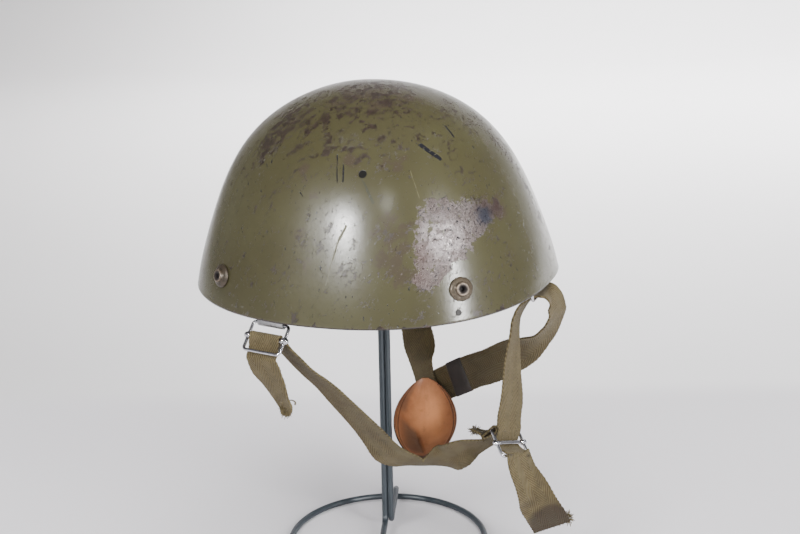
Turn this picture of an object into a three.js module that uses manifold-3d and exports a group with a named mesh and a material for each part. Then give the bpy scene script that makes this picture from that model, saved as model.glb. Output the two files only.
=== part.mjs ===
// Steel paratrooper helmet with a webbing harness and a leather chin cup, on a wire stand.
// Millimetres, +Z up. The helmet's front looks along -Y and the wearer's left is +X.
import * as THREE from 'three';
import { mergeVertices } from 'three/addons/utils/BufferGeometryUtils.js';
import Module from 'manifold-3d';

const wasm = await Module();
wasm.setup();

// General clearances
const GAP = 0.3;
const FACET = 0.3; // how far a flat facet may lie inside the true curve

// Shell
const SHELL_LENGTH = 272;
const SHELL_WIDTH = 239.4;
const SHELL_HEIGHT = 148.7;
const SHELL_WALL = 1.5;
const PLAN_POWER = 2.315; // above 2 the plan is squarer than an ellipse
const RIM_DIP = 3; // the rim is this much lower at the sides and higher at front and back
const PROFILE_FIRST = -0.02;
const PROFILE_THIRD = -0.009;
const PROFILE_SECOND = (PROFILE_FIRST + 3 * PROFILE_THIRD) / 2; // keeps the crown smooth
const SHELL_AROUND = 56;
const SHELL_UP = 14;

// Fittings of the shell, by plan angle from +X towards +Y and by rise from rim 0 to crown 90
const RIVETS = [
  { name: 'front', plan: -36, rise: 9 },
  { name: 'rear', plan: 46, rise: 8.8 },
];
const RIVET_WASHER_RADIUS = 8.4;
const RIVET_WASHER_EDGE = 0.7;
const RIVET_DOME = 2.3;
const RIVET_COLLAR_RADIUS = 4.9;
const RIVET_COLLAR_TOP = 4.7;
const RIVET_BORE_RADIUS = 1.8;
const RIVET_SHANK_RADIUS = 2.7;
const RIVET_FLANGE_RADIUS = 5.2;
const RIVET_FLANGE = 1;
const RIVET_SIDES = 12;
const VENT = { plan: 17, rise: 43.3, radius: 3 };
const PLUG = { plan: 44.2, rise: 2.7, radius: 2 };
const PLUG_HEAD_RADIUS = 3.4;
const PLUG_HEAD = 0.8;

// How the helmet sits on the stand
const RIM_HEIGHT = 214.3;
const HELMET_NOD = 1.2; // degrees, front down
const HELMET_LEAN = 0.9; // degrees, left side down
const HELMET_TURN = 0.4; // degrees
const SCENE_SHIFT = new THREE.Vector3(-4.2, -8, 0); // brings the middle of the whole to the origin

// Stand
const ROD = 4.8;
const ROD_SPACING = 4.6;
const ROD_BEND = 7;
const ROD_SIDES = 10;
const BEND_STEPS = 4;
const WELD = 0.7;
const RING_RADIUS = 76.5;
const RING_SIDES = 10;
const RING_STEPS = 48;
const POST = new THREE.Vector2(-1.3, 3.1);
const LEG_ANGLE = 19; // degrees from +X, the way the front leg points
const RING_FORWARD = 20.6; // ring centre from the post, along the front leg
const RING_ASIDE = 1.4;
const LEG_OVERHANG = 6;
const PAD_RADIUS = 24;
const PAD_HEIGHT = 6;

// Webbing
const STRAP_WIDTH = 28;
const STRAP_THICK = 1.8;
const BUCKLED_WIDTH = 26; // the webbing is squeezed a little inside a buckle
const STRAP_STEP = 6;

// Sliding bar buckles
const BUCKLE_WIDTH = 32;
const BUCKLE_HEIGHT = 22;
const BUCKLE_WIRE = 2.4;
const BUCKLE_CORNER = 2.6;
const BAR_HEIGHT = 3;
const BAR_THICK = 1.6;
const KNOB_LENGTH = 7;
const KNOB_RADIUS = 2.5;
const KNOB_HOLE = 1.75;
const LEFT_BUCKLE = { centre: [117.3, -35.9, -17.3], turn: 79.3, lean: 1.5, swing: 41 };
const NAPE_BUCKLE = { centre: [18.4, 112.6, -115.1], turn: 159, lean: -16.7, swing: 42.5 };

// Wire link at the nape and the sheet hangers inside the rim
const LINK = { centre: [0, 128.6, 0.2], width: 32, height: 7.2, wire: 2.2, corner: 2.6 };
const SHEET_THICK = 0.8;
const SHEET_WIDTH = 22.5;
const WALL_RISES = [11, 7, 3.5];
const HANGER_LEAD = 4;

// Strap routes, from the rim's centre: middle of the webbing, then the way its width points
// as a turn about Z and a lean upwards, in degrees, and its width
const LEFT_TAIL = [
  { x: 114, y: -25, z: -75, turn: 74, lean: 12, width: 8 },
  { x: 115, y: -24.5, z: -69, turn: 71, lean: 8, width: 14 },
  { x: 117.5, y: -27.5, z: -60, turn: 66, lean: 3, width: 21 },
  { x: 120.5, y: -30.5, z: -49, turn: 73, lean: 8, width: 24 },
  { x: 123, y: -34.5, z: -39, turn: 78, lean: 3, width: 28 },
];
const LEFT_STRAP = [
  { x: 104, y: -27, z: -31, turn: 58, lean: 5, width: 28 },
  { x: 95, y: -22, z: -43, turn: 62, lean: 2, width: 28 },
  { x: 83.5, y: -15, z: -57, turn: 65, lean: 6, width: 28 },
  { x: 71.5, y: -7.5, z: -72, turn: 67, lean: 8, width: 28 },
  { x: 58.5, y: 0.5, z: -90.5, turn: 70, lean: 11, width: 28 },
  { x: 46.5, y: 8, z: -107.5, turn: 75, lean: 13, width: 28 },
  { x: 36, y: 14, z: -123.5, turn: 81, lean: 16, width: 28 },
  { x: 27.5, y: 19, z: -136, turn: 84, lean: 30, width: 28 },
  { x: 17.5, y: 27.5, z: -143.5, turn: 67, lean: 35, width: 28 },
  { x: 8, y: 36, z: -148, turn: 33, lean: 31, width: 26 },
  { x: 5, y: 51.5, z: -143.5, turn: 25, lean: 51, width: 28 },
  { x: 9, y: 63, z: -138, turn: -3, lean: 62, width: 28 },
  { x: 13.5, y: 75, z: -128, turn: -15, lean: 48, width: 28 },
];
const NAPE_TAIL = [
  { x: -2, y: 138.5, z: -187, turn: 114, lean: 8, width: 30 },
  { x: 3, y: 136.5, z: -178.5, turn: 114, lean: 10, width: 30 },
  { x: 9, y: 132.5, z: -167, turn: 120, lean: 8, width: 29 },
  { x: 14.5, y: 129, z: -153, turn: 146, lean: 4, width: 28 },
  { x: 19.5, y: 124.5, z: -138.5, turn: 160, lean: -6, width: 27 },
];
const NAPE_NEAR = [
  { x: 14.5, y: 110.5, z: -98, turn: 161, lean: -18, width: 28 },
  { x: 15, y: 112.5, z: -81, turn: 164, lean: -18, width: 28 },
  { x: 15, y: 112.5, z: -60.5, turn: 172, lean: -18, width: 28 },
  { x: 14.5, y: 113, z: -45, turn: 177, lean: -18, width: 28 },
  { x: 13, y: 114, z: -32, turn: 184, lean: -17, width: 28 },
  { x: 9.5, y: 114.5, z: -19.5, turn: 186, lean: -14, width: 28 },
  { x: 4.5, y: 118, z: -11, turn: 182, lean: -8, width: 27 },
];
const NAPE_FAR = [
  { x: -1.5, y: 133, z: -1.6, turn: 181, lean: -3, width: 26.5 },
  { x: -4.5, y: 137, z: -5.5, turn: 178, lean: 9, width: 28 },
  { x: -7, y: 139.5, z: -13, turn: 175, lean: 14, width: 28 },
  { x: -9.5, y: 138.5, z: -20, turn: 169, lean: 8, width: 28 },
  { x: -14, y: 135, z: -27.5, turn: 172, lean: -6, width: 28 },
  { x: -20, y: 127.5, z: -38.5, turn: 173, lean: -18, width: 28 },
  { x: -27, y: 116, z: -50, turn: 163, lean: -35, width: 28 },
  { x: -34, y: 104, z: -61, turn: 142, lean: -58, width: 28 },
  { x: -42, y: 89, z: -72, turn: 120, lean: -72, width: 28 },
  { x: -52, y: 72, z: -84, turn: 95, lean: -76, width: 28 },
  { x: -63, y: 53, z: -95, turn: 75, lean: -68, width: 28 },
];
const RIGHT_STRAP = [
  { x: -112, y: -34, z: -8, turn: 264, lean: -4, width: 28 },
  { x: -110, y: -25.5, z: -38, turn: 262, lean: -8, width: 28 },
  { x: -106.5, y: -16.5, z: -66, turn: 259, lean: -12, width: 28 },
  { x: -98, y: -7, z: -91, turn: 275, lean: -10, width: 28 },
  { x: -94, y: -4.5, z: -103, turn: 247, lean: -14, width: 28 },
];
const RIGHT_STRAP_PLAN = 197; // where it lies on the shell's inside
const LEFT_HANGER_PLAN = -15.6;
const NAPE_HANGER_PLAN = 90;

// The seam where the right strap and the nape strap meet, in one plane behind the chin cup
const SEAM = { centre: [-90, 6, -127], turn: -32, lean: 3 };
const SEAM_NAPE_SLOPE = -58; // degrees from straight down towards the rear, in the seam's plane
const SEAM_RIGHT_SLOPE = 30;
const SEAM_BEFORE = 14;
const SEAM_AFTER = 14;
const SEAM_OVERLAP = 14;

// Chin cup
const CUP_LEFT_TIP = [5, 36.3, -145.2];
const CUP_RIGHT_TIP = [-79.5, 5, -113];
const CUP_SIDE_TURN = 105; // degrees, the way the cup's width points in plan
const CUP_HALF_WIDTH = 24.5;
const CUP_SAG = 17;
const CUP_WALL = 3;
const CUP_TIP = 3;
const CUP_ALONG = 18;
const CUP_ACROSS = 10;

const rad = THREE.MathUtils.degToRad;
const vec = (x, y, z) => new THREE.Vector3(x, y, z);

// Materials
function finish(color, roughness, metalness) {
  return new THREE.MeshStandardMaterial({ color, roughness, metalness });
}
const OLIVE_PAINT = finish(0x6b6748, 0.42, 0.1);
const WORN_BRONZE = finish(0x6a5a44, 0.4, 0.7);
const PLUG_GREY = finish(0x4f5148, 0.6, 0.4);
const NICKEL = finish(0xc4c6ca, 0.22, 1);
const SHEET_GREY = finish(0x9b9b97, 0.4, 0.9);
const WEBBING = finish(0x746848, 0.92, 0);
const CUP_LEATHER = finish(0xa5633e, 0.62, 0);
const STAND_PAINT = finish(0x3a4247, 0.45, 0.3);

// Solids
function solidOf(geometry) {
  const bare = geometry.clone();
  bare.deleteAttribute('normal');
  bare.deleteAttribute('uv');
  const merged = mergeVertices(bare, 1e-4);
  const vertProperties = new Float32Array(merged.attributes.position.array);
  const triVerts = new Uint32Array(merged.index.array);
  return new wasm.Manifold(new wasm.Mesh({ numProp: 3, vertProperties, triVerts }));
}

function geometryOf(solid) {
  const mesh = solid.getMesh();
  const geometry = new THREE.BufferGeometry();
  geometry.setAttribute('position', new THREE.BufferAttribute(new Float32Array(mesh.vertProperties), 3));
  geometry.setIndex(new THREE.BufferAttribute(new Uint32Array(mesh.triVerts), 1));
  geometry.computeVertexNormals();
  return geometry;
}

function meshOf(name, geometry, material) {
  const mesh = new THREE.Mesh(geometry, material);
  mesh.name = name;
  return mesh;
}

// A closed body from rings of points: each ring joins the next, and both ends are closed by fans
function bodyFromRings(rings, startPoint, endPoint) {
  const count = rings[0].length;
  const points = rings.flat();
  const faces = [];
  for (let i = 0; i + 1 < rings.length; i += 1) {
    for (let j = 0; j < count; j += 1) {
      const a = i * count + j;
      const b = i * count + ((j + 1) % count);
      faces.push([a, b, b + count], [a, b + count, a + count]);
    }
  }
  const start = points.push(startPoint) - 1;
  const end = points.push(endPoint) - 1;
  const last = (rings.length - 1) * count;
  for (let j = 0; j < count; j += 1) {
    const next = (j + 1) % count;
    faces.push([start, next, j], [end, last + j, last + next]);
  }
  return geometryFromFaces(points, faces);
}

function geometryFromFaces(points, faces) {
  const geometry = new THREE.BufferGeometry();
  geometry.setAttribute('position', new THREE.Float32BufferAttribute(points.flatMap((p) => [p.x, p.y, p.z]), 3));
  geometry.setIndex(faces.flat());
  geometry.computeVertexNormals();
  return geometry;
}

// The shell's surface: plan and rise in radians, inset measured inwards along the normal
function shellSurface(plan, rise) {
  const scale = 1
    + PROFILE_FIRST * Math.sin(2 * rise)
    + PROFILE_SECOND * Math.sin(4 * rise)
    + PROFILE_THIRD * Math.sin(6 * rise);
  const out = scale * Math.cos(rise);
  const up = scale * Math.sin(rise);
  const cos = Math.cos(plan);
  const sin = Math.sin(plan);
  const reach = (Math.abs(cos) ** PLAN_POWER + Math.abs(sin) ** PLAN_POWER) ** (-1 / PLAN_POWER);
  const dip = (1 - Math.min(up, 1)) * RIM_DIP * Math.cos(2 * plan);
  return vec(
    (SHELL_WIDTH / 2) * out * reach * cos,
    (SHELL_LENGTH / 2) * out * reach * sin,
    SHELL_HEIGHT * up - dip,
  );
}

function shellNormal(plan, rise) {
  const step = 1e-3;
  const under = Math.min(rise, Math.PI / 2 - 2 * step);
  const along = shellSurface(plan + step, under).sub(shellSurface(plan - step, under));
  const upward = shellSurface(plan, under + step).sub(shellSurface(plan, under - step));
  return along.cross(upward).normalize();
}

function shellInset(plan, rise, inset) {
  return shellSurface(plan, rise).addScaledVector(shellNormal(plan, rise), -inset);
}

// The shell's own frame at one place: Z outwards, X along the shell
function shellPlacement(place) {
  const plan = rad(place.plan);
  const rise = rad(place.rise);
  const out = shellNormal(plan, rise);
  const along = vec(-out.y, out.x, 0).normalize();
  const matrix = new THREE.Matrix4().makeBasis(along, out.clone().cross(along), out);
  return matrix.setPosition(shellSurface(plan, rise));
}

function mirrored(place) {
  return { ...place, plan: 180 - place.plan };
}

// A dome through rings at the given inset, closed by the rim's plane underneath
function shellVolume(inset) {
  const rings = [];
  for (let i = 0; i < SHELL_UP; i += 1) {
    const rise = (i / SHELL_UP) * (Math.PI / 2);
    const ring = [];
    for (let j = 0; j < SHELL_AROUND; j += 1) {
      const plan = (j / SHELL_AROUND) * 2 * Math.PI;
      const point = shellInset(plan, rise, inset);
      if (i === 0) {
        point.z = shellSurface(plan, rise).z;
      }
      ring.push(point);
    }
    rings.push(ring);
  }
  const crown = vec(0, 0, SHELL_HEIGHT - inset);
  return { rings, crown };
}

function drill(solid, placement, radius, sides) {
  const tool = new THREE.CylinderGeometry(radius, radius, 20 * SHELL_WALL, sides);
  tool.rotateX(Math.PI / 2);
  tool.applyMatrix4(placement);
  return solid.subtract(solidOf(tool));
}

function makeShell() {
  const outer = shellVolume(0);
  const inner = shellVolume(SHELL_WALL);
  const rings = [...outer.rings.slice().reverse(), ...inner.rings];
  const shell = bodyFromRings(rings, outer.crown, inner.crown);
  shell.index.array.reverse();
  let solid = solidOf(shell);
  for (const rivet of RIVETS) {
    for (const place of [rivet, mirrored(rivet)]) {
      solid = drill(solid, shellPlacement(place), RIVET_SHANK_RADIUS + GAP + FACET / 2, RIVET_SIDES);
    }
  }
  solid = drill(solid, shellPlacement(VENT), VENT.radius, RIVET_SIDES);
  solid = drill(solid, shellPlacement(PLUG), PLUG.radius + GAP + FACET / 2, RIVET_SIDES);
  return meshOf('shell', geometryOf(solid), OLIVE_PAINT);
}

// Lathe about Z from [radius, height] rows of a closed outline
function latheZ(rows, sides) {
  const outline = [...rows, rows[0]].map(([radius, height]) => new THREE.Vector2(radius, height));
  const geometry = new THREE.LatheGeometry(outline, sides);
  geometry.rotateX(Math.PI / 2);
  return geometry;
}

function makeRivet(name, place) {
  const inside = -SHELL_WALL - GAP - FACET;
  const collarRound = 0.8;
  const rows = [
    [RIVET_BORE_RADIUS, inside - RIVET_FLANGE],
    [RIVET_FLANGE_RADIUS, inside - RIVET_FLANGE],
    [RIVET_FLANGE_RADIUS, inside - 0.3],
    [RIVET_SHANK_RADIUS, inside - 0.2],
    [RIVET_SHANK_RADIUS, GAP],
    [RIVET_WASHER_RADIUS, GAP],
    [RIVET_WASHER_RADIUS, GAP + RIVET_WASHER_EDGE],
    [RIVET_WASHER_RADIUS - 1.2, GAP + RIVET_DOME * 0.72],
    [RIVET_COLLAR_RADIUS + 0.4, GAP + RIVET_DOME],
    [RIVET_COLLAR_RADIUS, RIVET_COLLAR_TOP - collarRound],
    [RIVET_COLLAR_RADIUS - collarRound, RIVET_COLLAR_TOP],
    [RIVET_BORE_RADIUS + collarRound, RIVET_COLLAR_TOP],
    [RIVET_BORE_RADIUS, RIVET_COLLAR_TOP - collarRound],
  ];
  const geometry = latheZ(rows, RIVET_SIDES);
  geometry.applyMatrix4(shellPlacement(place));
  return meshOf(name, geometry, WORN_BRONZE);
}

function makePlug() {
  const inside = -SHELL_WALL - 2 * GAP - FACET;
  const rows = [
    [0, inside - PLUG_HEAD],
    [PLUG_HEAD_RADIUS, inside - PLUG_HEAD],
    [PLUG_HEAD_RADIUS, inside],
    [PLUG.radius, inside],
    [PLUG.radius, 0.1],
    [0, 0.1],
  ];
  const geometry = latheZ(rows, RIVET_SIDES);
  geometry.applyMatrix4(shellPlacement(PLUG));
  return meshOf('shell_plug', geometry, PLUG_GREY);
}

// Webbing and sheet: a flat strip through rows of centre, width direction and width
function row(at, across, width) {
  return { at, across: across.clone().normalize(), width };
}

function tableRow({ x, y, z, turn, lean, width }) {
  return row(vec(x, y, z), direction(turn, lean), width);
}

function direction(turn, lean) {
  const flat = Math.cos(rad(lean));
  return vec(flat * Math.cos(rad(turn)), flat * Math.sin(rad(turn)), Math.sin(rad(lean)));
}

function strip(rows, thick, step) {
  const centres = new THREE.CatmullRomCurve3(rows.map((r) => r.at), false, 'centripetal');
  const sides = [];
  for (const { across, width } of rows) {
    const turned = sides.length > 0 && across.dot(sides.at(-1)) < 0;
    sides.push(across.clone().multiplyScalar(turned ? -width : width));
  }
  const widths = new THREE.CatmullRomCurve3(sides);
  const spans = rows.length - 1;
  const rings = [];
  let first = null;
  let last = null;
  const section = (t) => {
    const centre = centres.getPoint(t);
    const along = centres.getTangent(t);
    const across = widths.getPoint(t);
    const width = across.length();
    across.addScaledVector(along, -across.dot(along)).setLength(width / 2);
    const up = along.clone().cross(across).setLength(thick / 2);
    first = first ?? centre;
    last = centre;
    rings.push([
      centre.clone().add(across).add(up),
      centre.clone().sub(across).add(up),
      centre.clone().sub(across).sub(up),
      centre.clone().add(across).sub(up),
    ]);
  };
  for (let i = 0; i < spans; i += 1) {
    const length = rows[i].at.distanceTo(rows[i + 1].at);
    const cuts = Math.max(1, Math.round(length / step));
    for (let k = 0; k < cuts; k += 1) {
      section((i + k / cuts) / spans);
    }
  }
  section(1);
  return bodyFromRings(rings, first, last);
}

// The frame of a buckle: bars along `bar`, its height along `drop`, its face along `face`
function buckleFrame({ centre, turn, lean, swing }) {
  const bar = direction(turn, lean);
  const down = vec(0, 0, -1).addScaledVector(bar, bar.z).normalize();
  const out = down.clone().cross(bar);
  const cos = Math.cos(rad(swing));
  const sin = Math.sin(rad(swing));
  const drop = down.clone().multiplyScalar(cos).addScaledVector(out, sin);
  const face = out.clone().multiplyScalar(cos).addScaledVector(down, -sin);
  const origin = vec(...centre);
  const at = (a, b, c) => origin.clone().addScaledVector(bar, a).addScaledVector(drop, b).addScaledVector(face, c);
  const matrix = new THREE.Matrix4().makeBasis(bar, drop, bar.clone().cross(drop)).setPosition(origin);
  return { bar, drop, face, at, matrix };
}

const leftBuckle = buckleFrame(LEFT_BUCKLE);
const napeBuckle = buckleFrame(NAPE_BUCKLE);
const topBar = -BUCKLE_HEIGHT / 2;
const bottomBar = BUCKLE_HEIGHT / 2;

function roundedLoop(path, width, height, corner) {
  const x = width / 2;
  const y = height / 2;
  path.moveTo(-x + corner, -y);
  path.lineTo(x - corner, -y);
  path.absarc(x - corner, -y + corner, corner, -Math.PI / 2, 0);
  path.lineTo(x, y - corner);
  path.absarc(x - corner, y - corner, corner, 0, Math.PI / 2);
  path.lineTo(-x + corner, y);
  path.absarc(-x + corner, y - corner, corner, Math.PI / 2, Math.PI);
  path.lineTo(-x, -y + corner);
  path.absarc(-x + corner, -y + corner, corner, Math.PI, 1.5 * Math.PI);
  return path;
}

// A flat wire loop of nearly round section, in its own X and Y
function wireLoop(width, height, wire, corner) {
  const bevel = wire * 0.3;
  const inner = wire / 2 - bevel;
  const shape = roundedLoop(new THREE.Shape(), width + 2 * inner, height + 2 * inner, corner + inner);
  shape.holes.push(roundedLoop(new THREE.Path(), width - 2 * inner, height - 2 * inner, corner - inner));
  const geometry = new THREE.ExtrudeGeometry(shape, {
    depth: wire - 2 * bevel,
    bevelEnabled: true,
    bevelThickness: bevel,
    bevelSize: bevel,
    bevelSegments: 1,
    curveSegments: 3,
  });
  geometry.translate(0, 0, -(wire - 2 * bevel) / 2);
  return geometry;
}

function makeBuckle(name, buckle) {
  const loop = wireLoop(BUCKLE_WIDTH, BUCKLE_HEIGHT, BUCKLE_WIRE, BUCKLE_CORNER);
  const frame = geometryOf(solidOf(loop));
  const flat = new THREE.BoxGeometry(BUCKLE_WIDTH - 2, BAR_HEIGHT, BAR_THICK);
  let solid = solidOf(flat);
  for (const side of [-1, 1]) {
    const knob = new THREE.SphereGeometry(1, 10, 6);
    knob.scale(KNOB_LENGTH / 2, KNOB_RADIUS, KNOB_RADIUS);
    knob.translate((side * BUCKLE_WIDTH) / 2, 0, 0);
    solid = solid.add(solidOf(knob));
  }
  for (const side of [-1, 1]) {
    const hole = new THREE.CylinderGeometry(KNOB_HOLE, KNOB_HOLE, 4 * KNOB_RADIUS, 8);
    hole.translate((side * BUCKLE_WIDTH) / 2, 0, 0);
    solid = solid.subtract(solidOf(hole));
  }
  const bar = geometryOf(solid);
  frame.applyMatrix4(buckle.matrix);
  bar.applyMatrix4(buckle.matrix);
  return [meshOf(`${name}_buckle_frame`, frame, NICKEL), meshOf(`${name}_buckle_bar`, bar, NICKEL)];
}

function makeLink() {
  const geometry = wireLoop(LINK.width, LINK.height, LINK.wire, LINK.corner);
  geometry.rotateX(Math.PI / 2);
  geometry.translate(...LINK.centre);
  return meshOf('nape_link', geometryOf(solidOf(geometry)), NICKEL);
}

// Rows round a bar: from one angle to another in the plane of two directions
function wrapRows(centre, right, up, radius, from, to, count, across, width) {
  const rows = [];
  for (let i = 0; i <= count; i += 1) {
    const angle = rad(from + ((to - from) * i) / count);
    const at = centre.clone()
      .addScaledVector(right, radius * Math.cos(angle))
      .addScaledVector(up, radius * Math.sin(angle));
    rows.push(row(at, across, width));
  }
  return rows;
}

const helmetTurn = new THREE.Euler(rad(HELMET_NOD), rad(HELMET_LEAN), rad(HELMET_TURN), 'ZYX');

// Rows that lie on the shell's inside, from high to low, in the harness's frame
function wallRows(plan, thick, width, rises) {
  const bulge = (width / 2) ** 2 / SHELL_WIDTH;
  const inset = SHELL_WALL + GAP + FACET / 2 + bulge + thick / 2;
  return rises.map((rise) => {
    const at = shellInset(rad(plan), rad(rise), inset).applyEuler(helmetTurn);
    const normal = shellNormal(rad(plan), rad(rise));
    const across = vec(-normal.y, normal.x, 0).applyEuler(helmetTurn);
    return row(at, across, width);
  });
}

// The seam's plane
const seamNormal = direction(SEAM.turn, SEAM.lean);
const seamSide = vec(-seamNormal.y, seamNormal.x, 0).normalize();
const seamUp = seamNormal.clone().cross(seamSide);

function seamRow(slope, along, lift) {
  const way = seamSide.clone().multiplyScalar(Math.sin(rad(slope))).addScaledVector(seamUp, -Math.cos(rad(slope)));
  const at = vec(...SEAM.centre).addScaledVector(way, along).addScaledVector(seamNormal, lift);
  return row(at, way.clone().cross(seamNormal), STRAP_WIDTH);
}

function makeLeftStrap() {
  const { bar, at, face, drop } = leftBuckle;
  const wrap = BAR_HEIGHT / 2 + 2 * GAP + STRAP_THICK / 2;
  const behind = BUCKLE_WIRE / 2 + GAP + STRAP_THICK / 2 + 0.1;
  const rows = LEFT_TAIL.map(tableRow);
  rows.push(row(at(0, bottomBar + 3, -behind), bar, BUCKLED_WIDTH));
  rows.push(row(at(0, bottomBar - 1, -behind), bar, BUCKLED_WIDTH));
  rows.push(row(at(0, bottomBar - 5.5, 0), bar, BUCKLED_WIDTH));
  rows.push(...wrapRows(at(0, 0, 0), face, drop, wrap, 25, -150, 6, bar, BUCKLED_WIDTH));
  rows.push(row(at(1, -1.4, -8), bar, BUCKLED_WIDTH));
  rows.push(...LEFT_STRAP.map(tableRow));
  const eye = napeBuckle.at(0, topBar, 0);
  const reach = BUCKLE_WIRE / 2 + GAP + STRAP_THICK / 2 + 0.1;
  const incoming = napeBuckle.face;
  const side = napeBuckle.drop;
  const across = napeBuckle.bar.clone().negate();
  const low = eye.clone().addScaledVector(incoming, -15).addScaledVector(side, 1.2);
  const high = eye.clone().addScaledVector(incoming, -15).addScaledVector(side, -1.2);
  rows.push(row(low, across, BUCKLED_WIDTH));
  rows.push(...wrapRows(eye, incoming, side, reach, 100, -100, 8, across, BUCKLED_WIDTH));
  rows.push(row(high, across, BUCKLED_WIDTH));
  return meshOf('left_chin_strap', strip(rows, STRAP_THICK, STRAP_STEP), WEBBING);
}

function makeNapeStrap() {
  const { bar, at, face, drop } = napeBuckle;
  const over = BUCKLE_WIRE / 2 + GAP + STRAP_THICK / 2 + 0.1;
  const under = BAR_THICK / 2 + 3 * GAP + STRAP_THICK / 2;
  const overLoop = over + STRAP_THICK + 2 * GAP;
  const rows = NAPE_TAIL.map(tableRow);
  rows.push(...wrapRows(at(0, bottomBar, 0), drop, face, over, 55, 125, 3, bar, BUCKLED_WIDTH));
  rows.push(row(at(0, 2.2, -under), bar, BUCKLED_WIDTH));
  rows.push(row(at(0, -2, -under), bar, BUCKLED_WIDTH));
  rows.push(...wrapRows(at(0, topBar, 0), drop, face, overLoop, 40, 56, 1, bar, BUCKLED_WIDTH));
  rows.push(...NAPE_NEAR.map(tableRow));
  const linkBar = vec(...LINK.centre).add(vec(0, 0, -LINK.height / 2));
  const overWire = LINK.wire / 2 + GAP + STRAP_THICK / 2 + 0.1;
  rows.push(...wrapRows(linkBar, vec(0, 1, 0), vec(0, 0, 1), overWire, 132, 104, 2, vec(-1, 0, 0), BUCKLED_WIDTH));
  rows.push(...NAPE_FAR.map(tableRow));
  rows.push(seamRow(SEAM_NAPE_SLOPE, -SEAM_BEFORE, 0));
  rows.push(seamRow(SEAM_NAPE_SLOPE, 0, 0));
  rows.push(seamRow(SEAM_NAPE_SLOPE, SEAM_AFTER, 0));
  return meshOf('nape_strap', strip(rows, STRAP_THICK, STRAP_STEP), WEBBING);
}

function makeRightStrap() {
  const rows = wallRows(RIGHT_STRAP_PLAN, STRAP_THICK, STRAP_WIDTH, WALL_RISES);
  rows.push(...RIGHT_STRAP.map(tableRow));
  const lift = STRAP_THICK + 2 * GAP;
  rows.push(seamRow(SEAM_RIGHT_SLOPE, -SEAM_BEFORE, lift));
  rows.push(seamRow(SEAM_RIGHT_SLOPE, 0, lift));
  rows.push(seamRow(SEAM_RIGHT_SLOPE, SEAM_OVERLAP, lift));
  return meshOf('right_chin_strap', strip(rows, STRAP_THICK, STRAP_STEP), WEBBING);
}

// Sheet hangers: down the inside of the shell, then round a bar
function makeHanger(name, plan, centre, bar, wire) {
  const rows = wallRows(plan, SHEET_THICK, SHEET_WIDTH, WALL_RISES);
  const radius = wire / 2 + GAP + SHEET_THICK / 2 + 0.2;
  const out = vec(bar.y, -bar.x, 0).normalize();
  const up = out.clone().cross(bar);
  rows.push(row(centre.clone().addScaledVector(out, radius).addScaledVector(up, HANGER_LEAD), bar, SHEET_WIDTH));
  rows.push(...wrapRows(centre, out, up, radius, 0, -210, 10, bar, SHEET_WIDTH));
  return meshOf(name, strip(rows, SHEET_THICK, STRAP_STEP), SHEET_GREY);
}

// Chin cup: a leather boat between its two tips
function makeChinCup() {
  const left = vec(...CUP_LEFT_TIP);
  const right = vec(...CUP_RIGHT_TIP);
  const along = right.clone().sub(left);
  const length = along.length();
  along.normalize();
  const side = direction(CUP_SIDE_TURN, 0);
  side.addScaledVector(along, -side.dot(along)).normalize();
  const up = side.clone().cross(along);
  if (up.z < 0) {
    up.negate();
  }
  const surface = (s, v, drop) => {
    const belly = Math.sin(Math.PI * s);
    const half = Math.max(CUP_TIP, CUP_HALF_WIDTH * belly ** 0.55);
    const sag = CUP_SAG * belly ** 0.8 * (1 - v * v) ** 0.8 + drop;
    return left.clone()
      .addScaledVector(along, length * s)
      .addScaledVector(side, (half - 0.4 * drop * belly) * v)
      .addScaledVector(up, -sag);
  };
  const rings = [];
  for (let i = 0; i <= CUP_ALONG; i += 1) {
    const s = i / CUP_ALONG;
    const ring = [];
    for (let j = 0; j <= CUP_ACROSS; j += 1) {
      ring.push(surface(s, (2 * j) / CUP_ACROSS - 1, 0));
    }
    for (let j = CUP_ACROSS; j >= 0; j -= 1) {
      ring.push(surface(s, (2 * j) / CUP_ACROSS - 1, CUP_WALL));
    }
    rings.push(ring);
  }
  const cup = bodyFromRings(rings, surface(0, 0, CUP_WALL / 2), surface(1, 0, CUP_WALL / 2));
  return meshOf('chin_cup', cup, CUP_LEATHER);
}

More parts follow.
